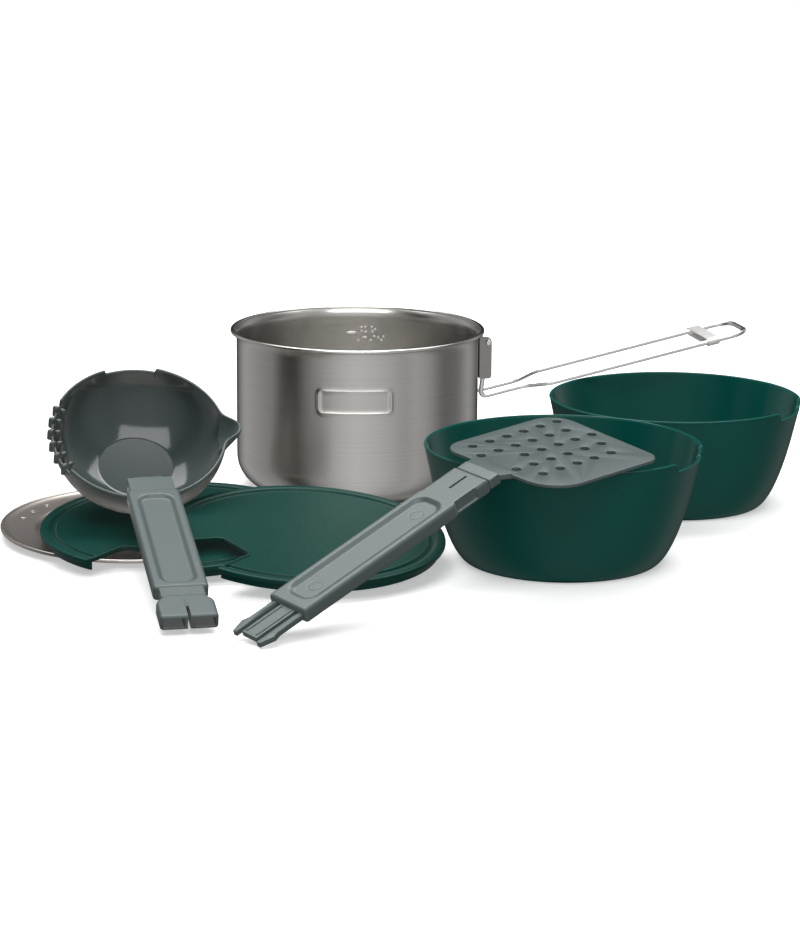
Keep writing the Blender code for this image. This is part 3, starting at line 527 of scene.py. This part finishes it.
def prism(outline, low, high, flare):
    """A cutter from below low to above high, whose ends open out by flare to leave soft edges."""
    t, past = np.linspace(0, pi / 2, 4), 0.01
    spread = np.concatenate([[flare], flare * (1 - np.cos(t[::-1])), flare * (1 - np.cos(t)), [flare]])
    bottom, top = low + flare - flare * np.sin(t[::-1]), high - flare + flare * np.sin(t)
    return stacked(outline, spread, np.concatenate([[low - past], bottom, top, [high + past]]))


def make_board(name, place, notch_turn, body, node, rib_turn):
    """A turned board, cut by the notch, with a soft bead along the notch's upper edge."""
    c, s = cos(radians(notch_turn)), sin(radians(notch_turn))
    outline = notch_line() @ np.array([[c, s], [-s, c]])
    mesh = skin(name, [turned(board_profile, round_angles)])
    mesh = carved(name, mesh, [cutter(name + "_notch", [prism(outline, -0.001, panel_top, 0.0006)])])
    points = points_of(mesh)
    flat = (np.hypot(points[:, 0], points[:, 1]) < groove_r - 0.0030) & (points[:, 2] > panel_top - 0.0001)
    marked(mesh, "panel", flat.astype(float))
    paint = plastic(name + "_plastic", board_green, 0.36, 0.06, shine=0.14, ribs=rib_turn)
    shown(name, settle(mesh, *place), paint, body, node, "green")
    kept = outline[np.hypot(outline[:, 0], outline[:, 1]) < board_r - 0.0012]
    edge = np.append(kept, np.full((len(kept), 1), panel_top - 0.0001), 1)
    bead_line = tube(smooth_path(edge[::2], 160), 0.0009, 12, np.array([0, 0, 1]))
    dressed(name + "_edge", skin(name + "_edge", [placed(bead_line, *place)]), paint, body)


small_board_at = (-0.1010, -0.1692, 0.0090), (radians(4.3), radians(-0.6), 0)
large_board_at = (-0.0267, -0.2014, 0.0126), (radians(5.7), radians(3.0), 0)
make_board("small_board", small_board_at, -108, "board_small", "small_board_lid", radians(20))
make_board("large_board", large_board_at, -142.9, "board_large", "large_board_lid", radians(-12))

# ---- Bowls ---------------------------------------------------------------------------------------
# Two deep bowls moulded in the same green plastic, polished inside and satin outside, with a thin
# rounded lip. A shallow notch in the rim takes a utensil's handle. One nests inside the other.

bowl_green = (0.002, 0.076, 0.062)
bowl_plastic = plastic("bowl_plastic", bowl_green, 0.36, 0.05, shine=0.16, inner_rough=0.16)


def cubic(p0, p1, p2, p3, count):
    """A Bezier curve's points: (1-t)^3 p0 + 3 t (1-t)^2 p1 + 3 t^2 (1-t) p2 + t^3 p3."""
    t = np.linspace(0, 1, count)[:, None]
    p0, p1, p2, p3 = (np.array(p, float) for p in (p0, p1, p2, p3))
    return p0 * (1 - t) ** 3 + 3 * p1 * t * (1 - t) ** 2 + 3 * p2 * t * t * (1 - t) + p3 * t**3


def make_bowl(name, scale, place, body, node):
    """A turned bowl whose rim dips by a smooth step across the notch, following the wall's slope."""
    wall = 0.0022
    rim, shoulder = np.array([0.0779, 0.0663]) * scale, np.array([0.0739, 0.0480]) * scale
    base = np.array([0.0537 * scale, 0])
    way = (shoulder - rim) / np.linalg.norm(shoulder - rim)
    straight = rim + (shoulder - rim) * np.linspace(0.06, 1, 14)[:-1, None]
    outer = np.concatenate([straight, cubic(shoulder, shoulder + way * 0.0483 * scale, base, base, 34)])
    share = 0.25 + 0.75 * np.minimum(1, outer[:, 1] / 0.012)
    inner = outer + np.stack([-wall * share, wall * (1 - outer[:, 1] / rim[1])], 1)
    lip = arc((rim[0] - wall / 2, rim[1] - wall / 2), wall / 2, 175, 5, 11)
    profile = np.concatenate([[[0, wall]], inner[::-1], lip, outer, [[0, 0]]])
    notch = radians(-22)
    half = radians(17.5)
    dense = np.concatenate([notch + side * half + np.linspace(-0.08, 0.08, 24) for side in (-1, 1)])
    angles = np.sort(np.concatenate([np.mod(dense, 2 * pi), np.linspace(0, 2 * pi, 217)[:-1]]))
    points = turned(profile, angles)
    away = np.abs((angles - notch + pi) % (2 * pi) - pi)
    dip = 0.0050 * (1 - ease(half - 0.045, half + 0.035, away))
    drop = dip[None] * ease(rim[1] - 0.016, rim[1] - 0.001, points[..., 2])
    slope = (rim[0] - shoulder[0]) / (rim[1] - shoulder[1])
    r = np.hypot(points[..., 0], points[..., 1])
    points[..., 2] -= drop
    points[..., :2] *= ((r - slope * drop) / np.maximum(r, 1e-6))[..., None]
    mesh = skin(name, [placed(points, place, (0, 0, 0))])
    z = points_of(mesh)
    r = np.hypot(z[:, 0] - place[0], z[:, 1] - place[1])
    limit = np.interp(z[:, 2], outer[::-1, 1], outer[::-1, 0] - 0.0008)
    marked(mesh, "inside", ((r < limit) & (z[:, 2] > 0.0008)).astype(float))
    shown(name, mesh, bowl_plastic, body, node, "green")


make_bowl("large_serving_bowl", 1.026, (0.1208, -0.1823, 0), "bowl_large", "large_bowl")
make_bowl("small_serving_bowl", 1.0, (0.1976, -0.0376, 0), "bowl_small", "small_bowl")

# ---- Ladle bowl ----------------------------------------------------------------------------------
# A deep round ladle in grey nylon, polished inside: a pouring spout on one side, straining slots
# between round teeth on the other, and a gap in the far rim where the folded handle rests.

grey = (0.074, 0.101, 0.100)
# painted shade: the ladle bowl's inside is coloured at 0.6 of the grey for the shade in the hollow; its lower
# roughness is the real polish
nylon = plastic("grey_nylon", grey, 0.38, 0.05, speck=900, inner_rough=0.11, painted_inner_shade=0.6)
ladle_at = (-0.1252, -0.1470, 0.0660), (0, radians(36.6), radians(-77.9))
ladle_r, ladle_deep, ladle_wall, ladle_base = 0.0515, 0.0345, 0.0020, 0.0190
hinge = np.array([ladle_r - 0.0060, 0, 0.0070])
teeth_turn, teeth_count = radians(-89), 6


def ladle_side(count):
    """The bowl's outer line from rim to base, as (r, z)."""
    below, beside = (ladle_r, -0.60 * ladle_deep), (ladle_base + 0.021, -ladle_deep)
    return cubic((ladle_r, 0), below, beside, (ladle_base, -ladle_deep), count)


def apart(angles, middle):
    """How far each angle is from the middle one, the short way round."""
    return np.abs((angles - middle + pi) % (2 * pi) - pi)[None]


def ladle_points():
    """The turned bowl, pushed out at the spout and cut down at the teeth and at the far gap."""
    inner_r, inner_deep, flat_r = ladle_r - ladle_wall, ladle_deep - ladle_wall, 0.0225
    side = (inner_r, -0.56 * inner_deep), (0.0365, -0.84 * inner_deep)
    inner = cubic((inner_r, 0), *side, (flat_r, -inner_deep), 44)[2:]
    outer = ladle_side(44)[2:]
    lip = arc((ladle_r - ladle_wall / 2, -ladle_wall / 2), ladle_wall / 2, 170, 10, 9)
    floor_ends = [[0, -inner_deep], [flat_r - 0.0006, -inner_deep]]
    base_ends = [[ladle_base * 0.96, -ladle_deep], [0, -ladle_deep]]
    profile = np.concatenate([floor_ends, inner[::-1], lip, outer, base_ends])
    teeth = [teeth_turn + s * radians(31.6) + np.linspace(-0.03, 0.03, 15) for s in (-1, 1)]
    rest = [pi + s * radians(17.3) + np.linspace(-0.03, 0.03, 13) for s in (-1, 1)]
    pour = pi / 2 + np.linspace(-0.30, 0.30, 50)
    angles = np.sort(np.mod(np.concatenate([*teeth, *rest, pour, np.linspace(0, 2 * pi, 161)[:-1]]), 2 * pi))
    points = turned(profile, angles)
    z = points[..., 2]
    reach = 0.0090 * np.exp(-((apart(angles, pi / 2) / 0.150) ** 2.5)) * ease(-0.022, -0.0002, z)
    teeth_cut = 0.0046 * (1 - ease(radians(31.0), radians(32.2), apart(angles, teeth_turn))) + 0 * z
    rest_cut = 0.0030 * (1 - ease(0.0150, 0.0160, apart(angles, pi) * ladle_r))
    drop = np.maximum(teeth_cut, rest_cut) * ease(-0.0075, -0.0004, z)
    r = np.hypot(points[..., 0], points[..., 1])
    points[..., :2] *= ((r + reach) / np.maximum(r, 1e-6))[..., None]
    points[..., 2] = z - drop
    return points


def rounded_section(top_count):
    """A rounded rectangle's outline: each point's place (a, b) on the sharp box and its way out (c, s)."""
    rows = []
    sides = ((1, 1, 0, 1, top_count), (-1, 1, -1, 0, 4), (-1, -1, 0, -1, 16), (1, -1, 1, 0, 4))
    for quarter, (a, b, c, s, count) in enumerate(sides):
        turn = np.radians(np.linspace(0, 90, 6) + 90 * quarter)
        rows.append(np.stack([a + 0 * turn, b + 0 * turn, np.cos(turn), np.sin(turn)], 1))
        t = np.linspace(1, -1, count + 2)[1:-1]
        rows.append(np.stack([c + (c == 0) * a * t, s + (s == 0) * b * t, c + 0 * t, s + 0 * t], 1))
    return np.concatenate(rows)


def bar(x, half_width, low, high, corner, top=None, top_count=48):
    """A rounded bar along X, half_width(x) wide and from low(x) to high(x), with domed end edges.

    If top is given, top(x, y) is added to the height of the upper face."""
    t = np.linspace(0, pi / 2, 5)
    dome = corner - corner * np.sin(t)
    middle = x[(x > x[0] + corner) & (x < x[-1] - corner)]
    x = np.concatenate([x[0] + corner - corner * np.cos(t), middle, x[-1] - corner + corner * np.cos(t[::-1])])
    inset = np.concatenate([dome, 0 * middle, dome[::-1]])
    low, high = (low(x) + inset)[:, None], (high(x) - inset)[:, None]
    section = rounded_section(top_count)
    bend = np.minimum(corner, (high - low) * 0.5) * (1 - inset / (corner * 1.02))[:, None]
    y = section[:, 0] * ((half_width(x) - inset)[:, None] - bend) + bend * section[:, 2]
    z = (low + high) / 2 + section[:, 1] * ((high - low) / 2 - bend) + bend * section[:, 3]
    grid = np.stack([np.broadcast_to(x[:, None], y.shape), y, z], 2)
    if top is not None:
        upper = (section[:, 1] > 0.99) & (section[:, 3] > 0.99)
        grid[:, upper, 2] += top(grid[:, upper, 0], grid[:, upper, 1])
    return capped(grid, [x[0], 0, (low[0, 0] + high[0, 0]) / 2], [x[-1], 0, (low[-1, 0] + high[-1, 0]) / 2])


def steady(value):
    """A size that stays the same along the bar."""
    return lambda x: np.full(np.shape(x), float(value))


def stepped(*pairs):
    """A size that runs straight from value to value: pairs of (x, value), level before and after them."""
    places, values = np.array(pairs).T
    return lambda x: np.interp(x, places, values)


def straight(start, end, half_width, low, high, corner, steps=8, top=None, top_count=48):
    """A bar with one section from start to end."""
    x = np.linspace(start, end, steps)
    return bar(x, steady(half_width), steady(low), steady(high), corner, top, top_count)


def ear_grid(side):
    """A hinge ear: a flat drop-shaped plate that rises from the rim and is round about the pin."""
    outline = np.concatenate([
        [[ladle_r - 0.0016, -0.0090], [ladle_r - 0.0004, -0.0060], [ladle_r, -0.0005]],
        arc((hinge[0], hinge[2]), 0.0032, 10, 200, 16), [[ladle_r - 0.0060, -0.0010]]])
    inner, outer, soft = side * 0.0085, side * 0.0118, side * 0.0004
    middle = outline.mean(0)
    y = np.array([inner, inner + soft, outer - soft, outer])
    rows = middle + (outline - middle) * np.array([0.90, 1, 1, 0.90])[:, None, None]
    walls = np.stack([rows[..., 0], np.broadcast_to(y[:, None], rows.shape[:2]), rows[..., 1]], 2)
    return capped(walls, [middle[0], inner, middle[1]], [middle[0], outer, middle[1]])


def tooth(turn, radius, high):
    """A round-topped peg on the lowered rim: a half-ellipsoid that goes down into the wall."""
    bearing = np.linspace(0, 2 * pi, 17)[:-1]
    lift = np.linspace(0, pi / 2, 6)[:, None]
    long, wide, tall, root = 0.0023, 0.0015, 0.0022, [0, 0, -0.0055]
    along, side = np.array([cos(turn), sin(turn), 0]), np.array([-sin(turn), cos(turn), 0])
    dome = (
        (np.cos(lift) ** 0.6 * np.cos(bearing) * long)[..., None] * along
        + (np.cos(lift) ** 0.6 * np.sin(bearing) * wide)[..., None] * side
        + (np.sin(lift) * np.ones(16) * tall)[..., None] * np.array([0, 0, 1])
    )
    return np.concatenate([dome[:1] * 0 + root, dome[:1] + root, dome]) + along * radius + [0, 0, high - 0.0018]


tooth_turns = teeth_turn + radians(62) * ((np.arange(teeth_count) + 0.5) / teeth_count - 0.5)
tooth_rows = ((0.0003, -0.0010), (0.0042, -0.0018))
teeth = [tooth(a, ladle_r - inset, high) for inset, high in tooth_rows for a in tooth_turns]
ladle_shape = [placed(g, *ladle_at) for g in (ladle_points(), ear_grid(-1), ear_grid(1), *teeth)]
ladle_mesh = skin("ladle_scoop", ladle_shape)
own = (points_of(ladle_mesh) - np.array(ladle_at[0])) @ np.array(Euler(ladle_at[1]).to_matrix())
own_r = np.hypot(own[:, 0], own[:, 1])
wall_line = ladle_side(60)
limit = np.interp(own[:, 2], wall_line[::-1, 1], wall_line[::-1, 0])
inner_face = (own_r < limit - ladle_wall / 2) & (own[:, 2] > 0.0005 - ladle_deep)
# the inside mask carries the smoother gloss and the painted shade
marked(ladle_mesh, "inside", inner_face.astype(float))
shown("ladle_scoop", ladle_mesh, nylon, "ladle", "ladle_bowl", "grey")
nodes["ladle_hinge_pin"].data.materials.clear()
nodes["ladle_hinge_pin"].data.materials.append(wire_steel)

# ---- Ladle handle --------------------------------------------------------------------------------
# A grey nylon handle that turns on the pin: a curled barrel, a thin plate, a sleeve with a sunk
# panel, a waist, and an end block whose two sockets take the prongs of the other handle.

half, thick, ladle_length = 0.0150, 0.0085, 0.1680
block = ladle_length - 0.0200
# painted shade: points marked inside, the end block's sockets, are coloured at 0.1 of the grey for the shade
# deep in them
satin = plastic("satin_nylon", grey, 0.40, 0.05, speck=900, inner_rough=0.5, painted_inner_shade=0.1)


def sunk(x0, x1, half_width, depth, soft):
    """A pill-shaped hollow in the top: -depth inside a rounded box from x0 to x1, easing out over soft."""
    def height(x, y):
        """The hollow's height at each point, 0 outside it."""
        off = rounded_box_distance(x - (x0 + x1) / 2, y, (x1 - x0) / 2, half_width, half_width * 0.72)
        return -depth * (1 - ease(-soft, soft * 0.6, off))
    return height


def ladle_handle_grids():
    """The handle's shapes from the pin outwards: barrel, web, plate, cover, sleeve, waist and rib."""
    low, high = -thick / 2, thick / 2
    ring = np.linspace(0, 2 * pi, 33)[:-1]
    y, r = np.array([-0.0082, -0.0079, 0.0079, 0.0082]), np.array([0.0029, 0.0032, 0.0032, 0.0029])[:, None]
    barrel = np.stack([r * np.cos(ring), np.broadcast_to(y[:, None], (4, 32)), r * np.sin(ring)], 2)
    panel = sunk(0.0245, block - 0.0190, 0.0098, 0.0018, 0.0022)
    return [
        straight(0.0170, block - 0.0130, half, low, high, 0.0020, 260, panel),
        straight(0.0036, 0.0200, half - 0.0020, 0.0004, high - 0.0010, 0.0008, 12),
        straight(0.0017, 0.0200, half - 0.0022, 0.0034, high - 0.0001, 0.0004, 14),
        straight(0.0002, 0.0070, 0.0082, -0.0005, 0.0022, 0.0003),
        capped(barrel, [0, y[0], 0], [0, y[-1], 0]),
        straight(block - 0.0170, block + 0.0040, 0.0122, low + 0.0008, high - 0.0006, 0.0008, 14),
        straight(block + 0.0015, block + 0.0095, 0.0008, 0, high + 0.0003, 0.0003, top_count=4),
    ]


def end_block():
    """The block at the end: two open sockets side by side and a slit between them."""
    wide, past = half + 0.0006, ladle_length + 0.01
    width = stepped((block - 0.0045, 0.0122), (block - 0.0025, 0.0125), (block - 0.0008, 0.0134),
                    (block + 0.0010, 0.0148), (block + 0.0030, wide), (ladle_length, wide))
    x = np.linspace(block - 0.0045, ladle_length, 60)
    body = bar(x, width, steady(-thick / 2), steady(thick / 2), 0.0018, top_count=16)
    socket = straight(block + 0.0030, past, 0.0061, -0.0028, 0.0028, 0.0010, top_count=8)
    slit = straight(block + 0.0080, past, 0.0009, -0.02, 0.02, 0.0003, 6, top_count=3)
    cuts = [socket - [0, 0.0083, 0], socket + [0, 0.0083, 0], slit]
    return carved("end_block", skin("end_block", [body]), [cutter(f"cut_{i}", [g]) for i, g in enumerate(cuts)])


ladle_bend = radians(23.6)


def joined(name, meshes):
    """Several closed shapes as one mesh."""
    work = bmesh.new()
    for mesh in meshes:
        work.from_mesh(mesh)
    made = bpy.data.meshes.new(name)
    work.to_mesh(made)
    work.free()
    made.shade_smooth()
    made.set_sharp_from_angle(angle=radians(35))
    return made


def in_ladle(mesh):
    """From the handle's frame, at the pin, to where the ladle lies."""
    settle(mesh, tuple(hinge), (0, -ladle_bend, 0))
    return settle(mesh, *ladle_at)


handle_mesh = joined("ladle_grip", [skin("ladle_grip", ladle_handle_grids()), end_block()])
own = points_of(handle_mesh)
in_block = (own[:, 0] > block + 0.0025) & (own[:, 0] < ladle_length - 0.0012)
in_socket = in_block & (np.abs(own[:, 1]) < 0.0148) & (np.abs(own[:, 2]) < 0.0030)
# marks the sockets' insides for their rougher finish and their near-black painted shade
marked(handle_mesh, "inside", in_socket.astype(float))
shown("ladle_grip", in_ladle(handle_mesh), satin, "ladle_grip", "ladle_handle", "grey")

# ---- Spatula -------------------------------------------------------------------------------------
# A flat perforated blade in satin grey nylon, with a stop ridge on its neck. Its plug clips into the
# collar of a hollow handle, out of whose far end the three prongs for the ladle's handle come.

spatula_at = (0.0725, -0.2631, 0.0712), (radians(7.24), 0, radians(41)), "ZYX"
blade_long, blade_half, blade_thick = 0.0820, 0.0460, 0.0020
blade_shift, blade_skew, blade_neck = -0.0040, 0.0060, 0.0066
spatula_bend = radians(17.7)


def rounded_outline(corners, radii, count):
    """A polygon's outline with each corner turned into an arc of its radius, touching both sides."""
    corners = np.array(corners, float)
    found = []
    for before, here, after, r in zip(np.roll(corners, 1, 0), corners, np.roll(corners, -1, 0), radii):
        a = (before - here) / np.linalg.norm(before - here)
        b = (after - here) / np.linalg.norm(after - here)
        half_angle = np.arccos(np.clip(a @ b, -1, 1)) / 2
        centre = here + (a + b) / np.linalg.norm(a + b) * r / np.sin(half_angle)
        start, end = here + a * r / np.tan(half_angle) - centre, here + b * r / np.tan(half_angle) - centre
        t = np.linspace(0, 1, count)[:, None]
        sweep = np.arccos(np.clip(start @ end / r**2, -1, 1))
        found.append(centre + (start * np.sin((1 - t) * sweep) + end * np.sin(t * sweep)) / np.sin(sweep))
    return np.concatenate(found)


def slab(outline, low, high, soft):
    """A flat plate from low to high whose outline shrinks by soft (1 - sin) towards each face."""
    t = np.linspace(0, pi / 2, 5)
    inset = soft * np.concatenate([1 - np.sin(t), 1 - np.sin(t[::-1])])
    z = np.concatenate([low + soft * (1 - np.cos(t)), high - soft * (1 - np.cos(t[::-1]))])
    return stacked(outline, -inset, z)


def in_handle(mesh):
    """From the spatula handle's frame, whose X runs from the ridge to the prongs, to where it lies."""
    settle(mesh, (0, 0, -blade_thick), (0, spatula_bend, pi))
    return settle(mesh, *spatula_at)


def blade_mesh():
    """The perforated blade and the short throat that joins it to the neck."""
    near, far = blade_neck, blade_neck + blade_long
    left, right = blade_shift + blade_half, blade_shift - blade_half
    corners = [(near, right), (far, right), (far + blade_skew, left), (near, left)]
    outline = rounded_outline(corners, [0.022, 0.010, 0.016, 0.013], 22)
    holes = []
    for row, (start, count) in enumerate([(0, 6), (-0.5, 6), (1, 5), (-0.5, 6), (0, 5)]):
        x, y = near + 0.0142 + (start + np.arange(count)) * 0.0130, left - 0.0110 - row * 0.0143
        holes += [drill(at, y, -blade_thick, 0, 0.0028, 0.0004) for at in x]
    plate = skin("blade", [slab(outline, -blade_thick, 0, 0.0006)])
    plate = carved("blade", plate, [cutter("holes", holes)])
    corners = [(-0.0010, -0.0130), (near + 0.004, -0.0175), (near + 0.004, 0.0175), (-0.0010, 0.0130)]
    throat = slab(rounded_outline(corners, [0.0006] * 4, 5), -blade_thick - 0.0008, 0.0003, 0.0005)
    return settle(joined("blade", [plate, skin("throat", [throat])]), *spatula_at)


def plug_mesh():
    """The plug that goes into the collar, and the stop ridge in front of it."""
    plug = straight(-0.0005, 0.0310, 0.0118, -0.0020, 0.0020, 0.0004, 14, top_count=8)
    ridge = straight(-0.0012, 0.0067, 0.0134, -0.0030, 0.0030, 0.0008, 10, top_count=8)
    return in_handle(skin("plug", [plug, ridge]))


turner_mesh = joined("spatula_turner", [blade_mesh(), plug_mesh()])
shown("spatula_turner", turner_mesh, satin, "spatula", "spatula_blade", "grey")

sleeve_end, collar_start = 0.1440, 0.0070


def sleeve_mesh():
    """Collar and sleeve as one bar that widens at the shoulder, cut by pocket, windows, slit and hollow."""
    spans = (collar_start, 0.030, 30), (0.0305, 0.0365, 16), (0.0370, sleeve_end, 260)
    x = np.concatenate([np.linspace(*span) for span in spans])
    collar_half = half - 0.0012
    width = stepped((collar_start, collar_half), (0.0325, collar_half), (0.0350, half), (sleeve_end, half))
    panel = sunk(0.0370, sleeve_end - 0.0080, 0.0100, 0.0018, 0.0022)

    def top(x, y):
        """The sunk panel, with a faint ring near each end of it."""
        rings = sum(np.exp(-(((np.hypot(x - c, y) - 0.0038) / 0.0003) ** 2)) for c in (0.050, 0.124))
        return panel(x, y) - 0.0002 * rings
    body = skin("sleeve", [bar(x, width, steady(-thick / 2), steady(thick / 2), 0.0020, top)])
    window = straight(0.0165, 0.0325, 0.0032, -0.0023, 0.0070, 0.0010, top_count=4)
    low, high = -thick / 2 + 0.0018, thick / 2 - 0.0030
    cuts = [
        straight(0, 0.0320, 0.0121, -0.0023, 0.0023, 0.0004, top_count=4),
        window - [0, 0.0156, 0],
        window + [0, 0.0156, 0],
        straight(0.0110, 0.0240, 0.0008, 0, 0.02, 0.0004, top_count=3),
        straight(0.0400, sleeve_end + 0.01, half - 0.0022, low, high, 0.0006, top_count=8),
    ]
    return carved("sleeve", body, [cutter(f"cut_{i}", [g]) for i, g in enumerate(cuts)])


shown("spatula_grip", in_handle(sleeve_mesh()), satin, "spatula_grip", "spatula_handle", "grey")


def prong_mesh():
    """The insert: a root inside the sleeve, a ribbed middle prong and a barbed prong on each side."""
    inner_half, start, barb, tip = half - 0.0025, sleeve_end - 0.0100, 0.1640, 0.1730
    low, high = -thick / 2 + 0.0021, thick / 2 - 0.0033
    rib = straight(sleeve_end - 0.0080, 0.1690, 0.0007, high - 0.0006, high + 0.0006, 0.0002, top_count=3)
    grids = [
        straight(0.0900, sleeve_end - 0.0060, inner_half, low, high, 0.0004, 6, top_count=4),
        straight(start, 0.1710, 0.0062, low, high, 0.0005, 14, top_count=8),
        rib - [0, 0.0040, 0],
        rib + [0, 0.0040, 0],
    ]
    chain = [(start, inner_half - 0.0040), (tip, inner_half - 0.0040), (tip, inner_half - 0.0014),
             (barb, inner_half + 0.0016), (barb, inner_half), (start, inner_half)]
    radii = [0.0003, 0.0004, 0.0004, 0.0003, 0.0003, 0.0003]
    for side in (-1, 1):
        outline = rounded_outline([(x, side * y) for x, y in chain][::side], radii, 4)
        grids.append(slab(outline, low, high, 0.0003))
    return in_handle(skin("prongs", grids))


shown("spatula_prong_insert", prong_mesh(), satin, "spatula_grip", "spatula_prongs", "grey")

# ---- Studio --------------------------------------------------------------------------------------
# A white floor that stays out of reflections, a soft box in front and one overhead, a wash for the
# floor, surroundings that give the steel its bright bands, and a long lens that looks slightly down.


def floor():
    """A white sweep: z stays 0 near the set and climbs far behind it."""
    x, y = np.linspace(-4, 4, 9), np.linspace(-3, 5, 60)[:, None]
    z = 1.6 * ease(2.2, 5.0, y) - 0.0004
    shape = (60, 9)
    grid = np.stack([np.broadcast_to(x, shape), np.broadcast_to(y, shape), np.broadcast_to(z, shape)], 2)
    i, j = np.meshgrid(np.arange(59), np.arange(8), indexing="ij")
    corner = i * 9 + j
    quads = np.stack([corner, corner + 1, corner + 10, corner + 9], 2).reshape(-1, 4)
    mesh = bpy.data.meshes.new("floor")
    mesh.from_pydata(grid.reshape(-1, 3).tolist(), [], quads.tolist())
    mesh.shade_smooth()
    ground = bpy.data.objects.new("floor", mesh)
    bpy.context.scene.collection.objects.link(ground)
    paint = bpy.data.materials.new("paper")
    paint.use_nodes = True
    inputs = paint.node_tree.nodes["Principled BSDF"].inputs
    inputs["Base Color"].default_value = (0.90, 0.90, 0.90, 1)
    inputs["Roughness"].default_value = 0.8
    inputs["Emission Color"].default_value = (1, 1, 1, 1)
    inputs["Emission Strength"].default_value = 0.42
    mesh.materials.append(paint)
    ground.visible_glossy = False
    ground.visible_diffuse = False


def panel_light(name, place, aim, wide, high, power):
    """A flat soft light at a place, turned to face a point."""
    lamp = bpy.data.lights.new(name, "AREA")
    lamp.shape = "RECTANGLE"
    lamp.size, lamp.size_y, lamp.energy = wide, high, power
    held = bpy.data.objects.new(name, lamp)
    bpy.context.scene.collection.objects.link(held)
    held.location = place
    held.rotation_euler = (Vector(aim) - Vector(place)).to_track_quat("-Z", "Y").to_euler()


floor()
panel_light("front_box", (-0.05, -1.05, 1.45), (-0.05, -0.1, 0), 1.5, 0.75, 13)
panel_light("top_box", (0.0, 0.50, 1.6), (0, -0.1, 0), 1.3, 0.7, 9)
panel_light("floor_wash", (0.0, 0.9, 2.2), (0, 0.9, 0), 3.0, 1.6, 55)


def room():
    """Surroundings whose brightness changes with bearing: bright behind the lens, dark behind the set."""
    world = bpy.data.worlds.new("room")
    bpy.context.scene.world = world
    world.use_nodes = True
    tree = world.node_tree
    way = tree.nodes.new("ShaderNodeTexCoord").outputs["Generated"]
    bearing = added(tree, "ShaderNodeTexGradient", {"Vector": way}, gradient_type="RADIAL").outputs["Fac"]
    ramp = added(tree, "ShaderNodeValToRGB", {"Fac": bearing})
    stops = (
        (0.0, 0.34), (0.045, 0.05), (0.085, 0.02), (0.13, 0.30), (0.20, 0.60), (0.25, 0.72),
        (0.32, 0.60), (0.385, 0.42), (0.41, 0.52), (0.45, 0.42), (0.50, 0.16), (0.56, 0.20),
        (0.62, 0.45), (0.70, 0.03), (0.80, 0.03), (0.88, 0.48), (1.0, 0.30))
    elements = ramp.color_ramp.elements
    for place, _ in stops[1:-1]:
        elements.new(place)
    for stop, (_, level) in zip(elements, stops):
        stop.color = (level, level, level, 1)
    background = tree.nodes["Background"]
    background.inputs["Strength"].default_value = 1.0
    tree.links.new(ramp.outputs["Color"], background.inputs["Color"])


room()

lens = bpy.data.cameras.new("camera")
lens.lens = 113.684
lens.sensor_width = 36
lens.clip_start = 0.05
camera = bpy.data.objects.new("camera", lens)
bpy.context.scene.collection.objects.link(camera)
camera.location = (0.0274, -1.8612, 0.4422)
look_down, roll = 0.2303, 0.0068
aim = Euler((pi / 2 - look_down, 0, 0)).to_matrix() @ Euler((0, 0, roll)).to_matrix()
camera.rotation_euler = aim.to_euler()
bpy.context.scene.camera = camera
bpy.context.scene.view_settings.view_transform = "Standard"
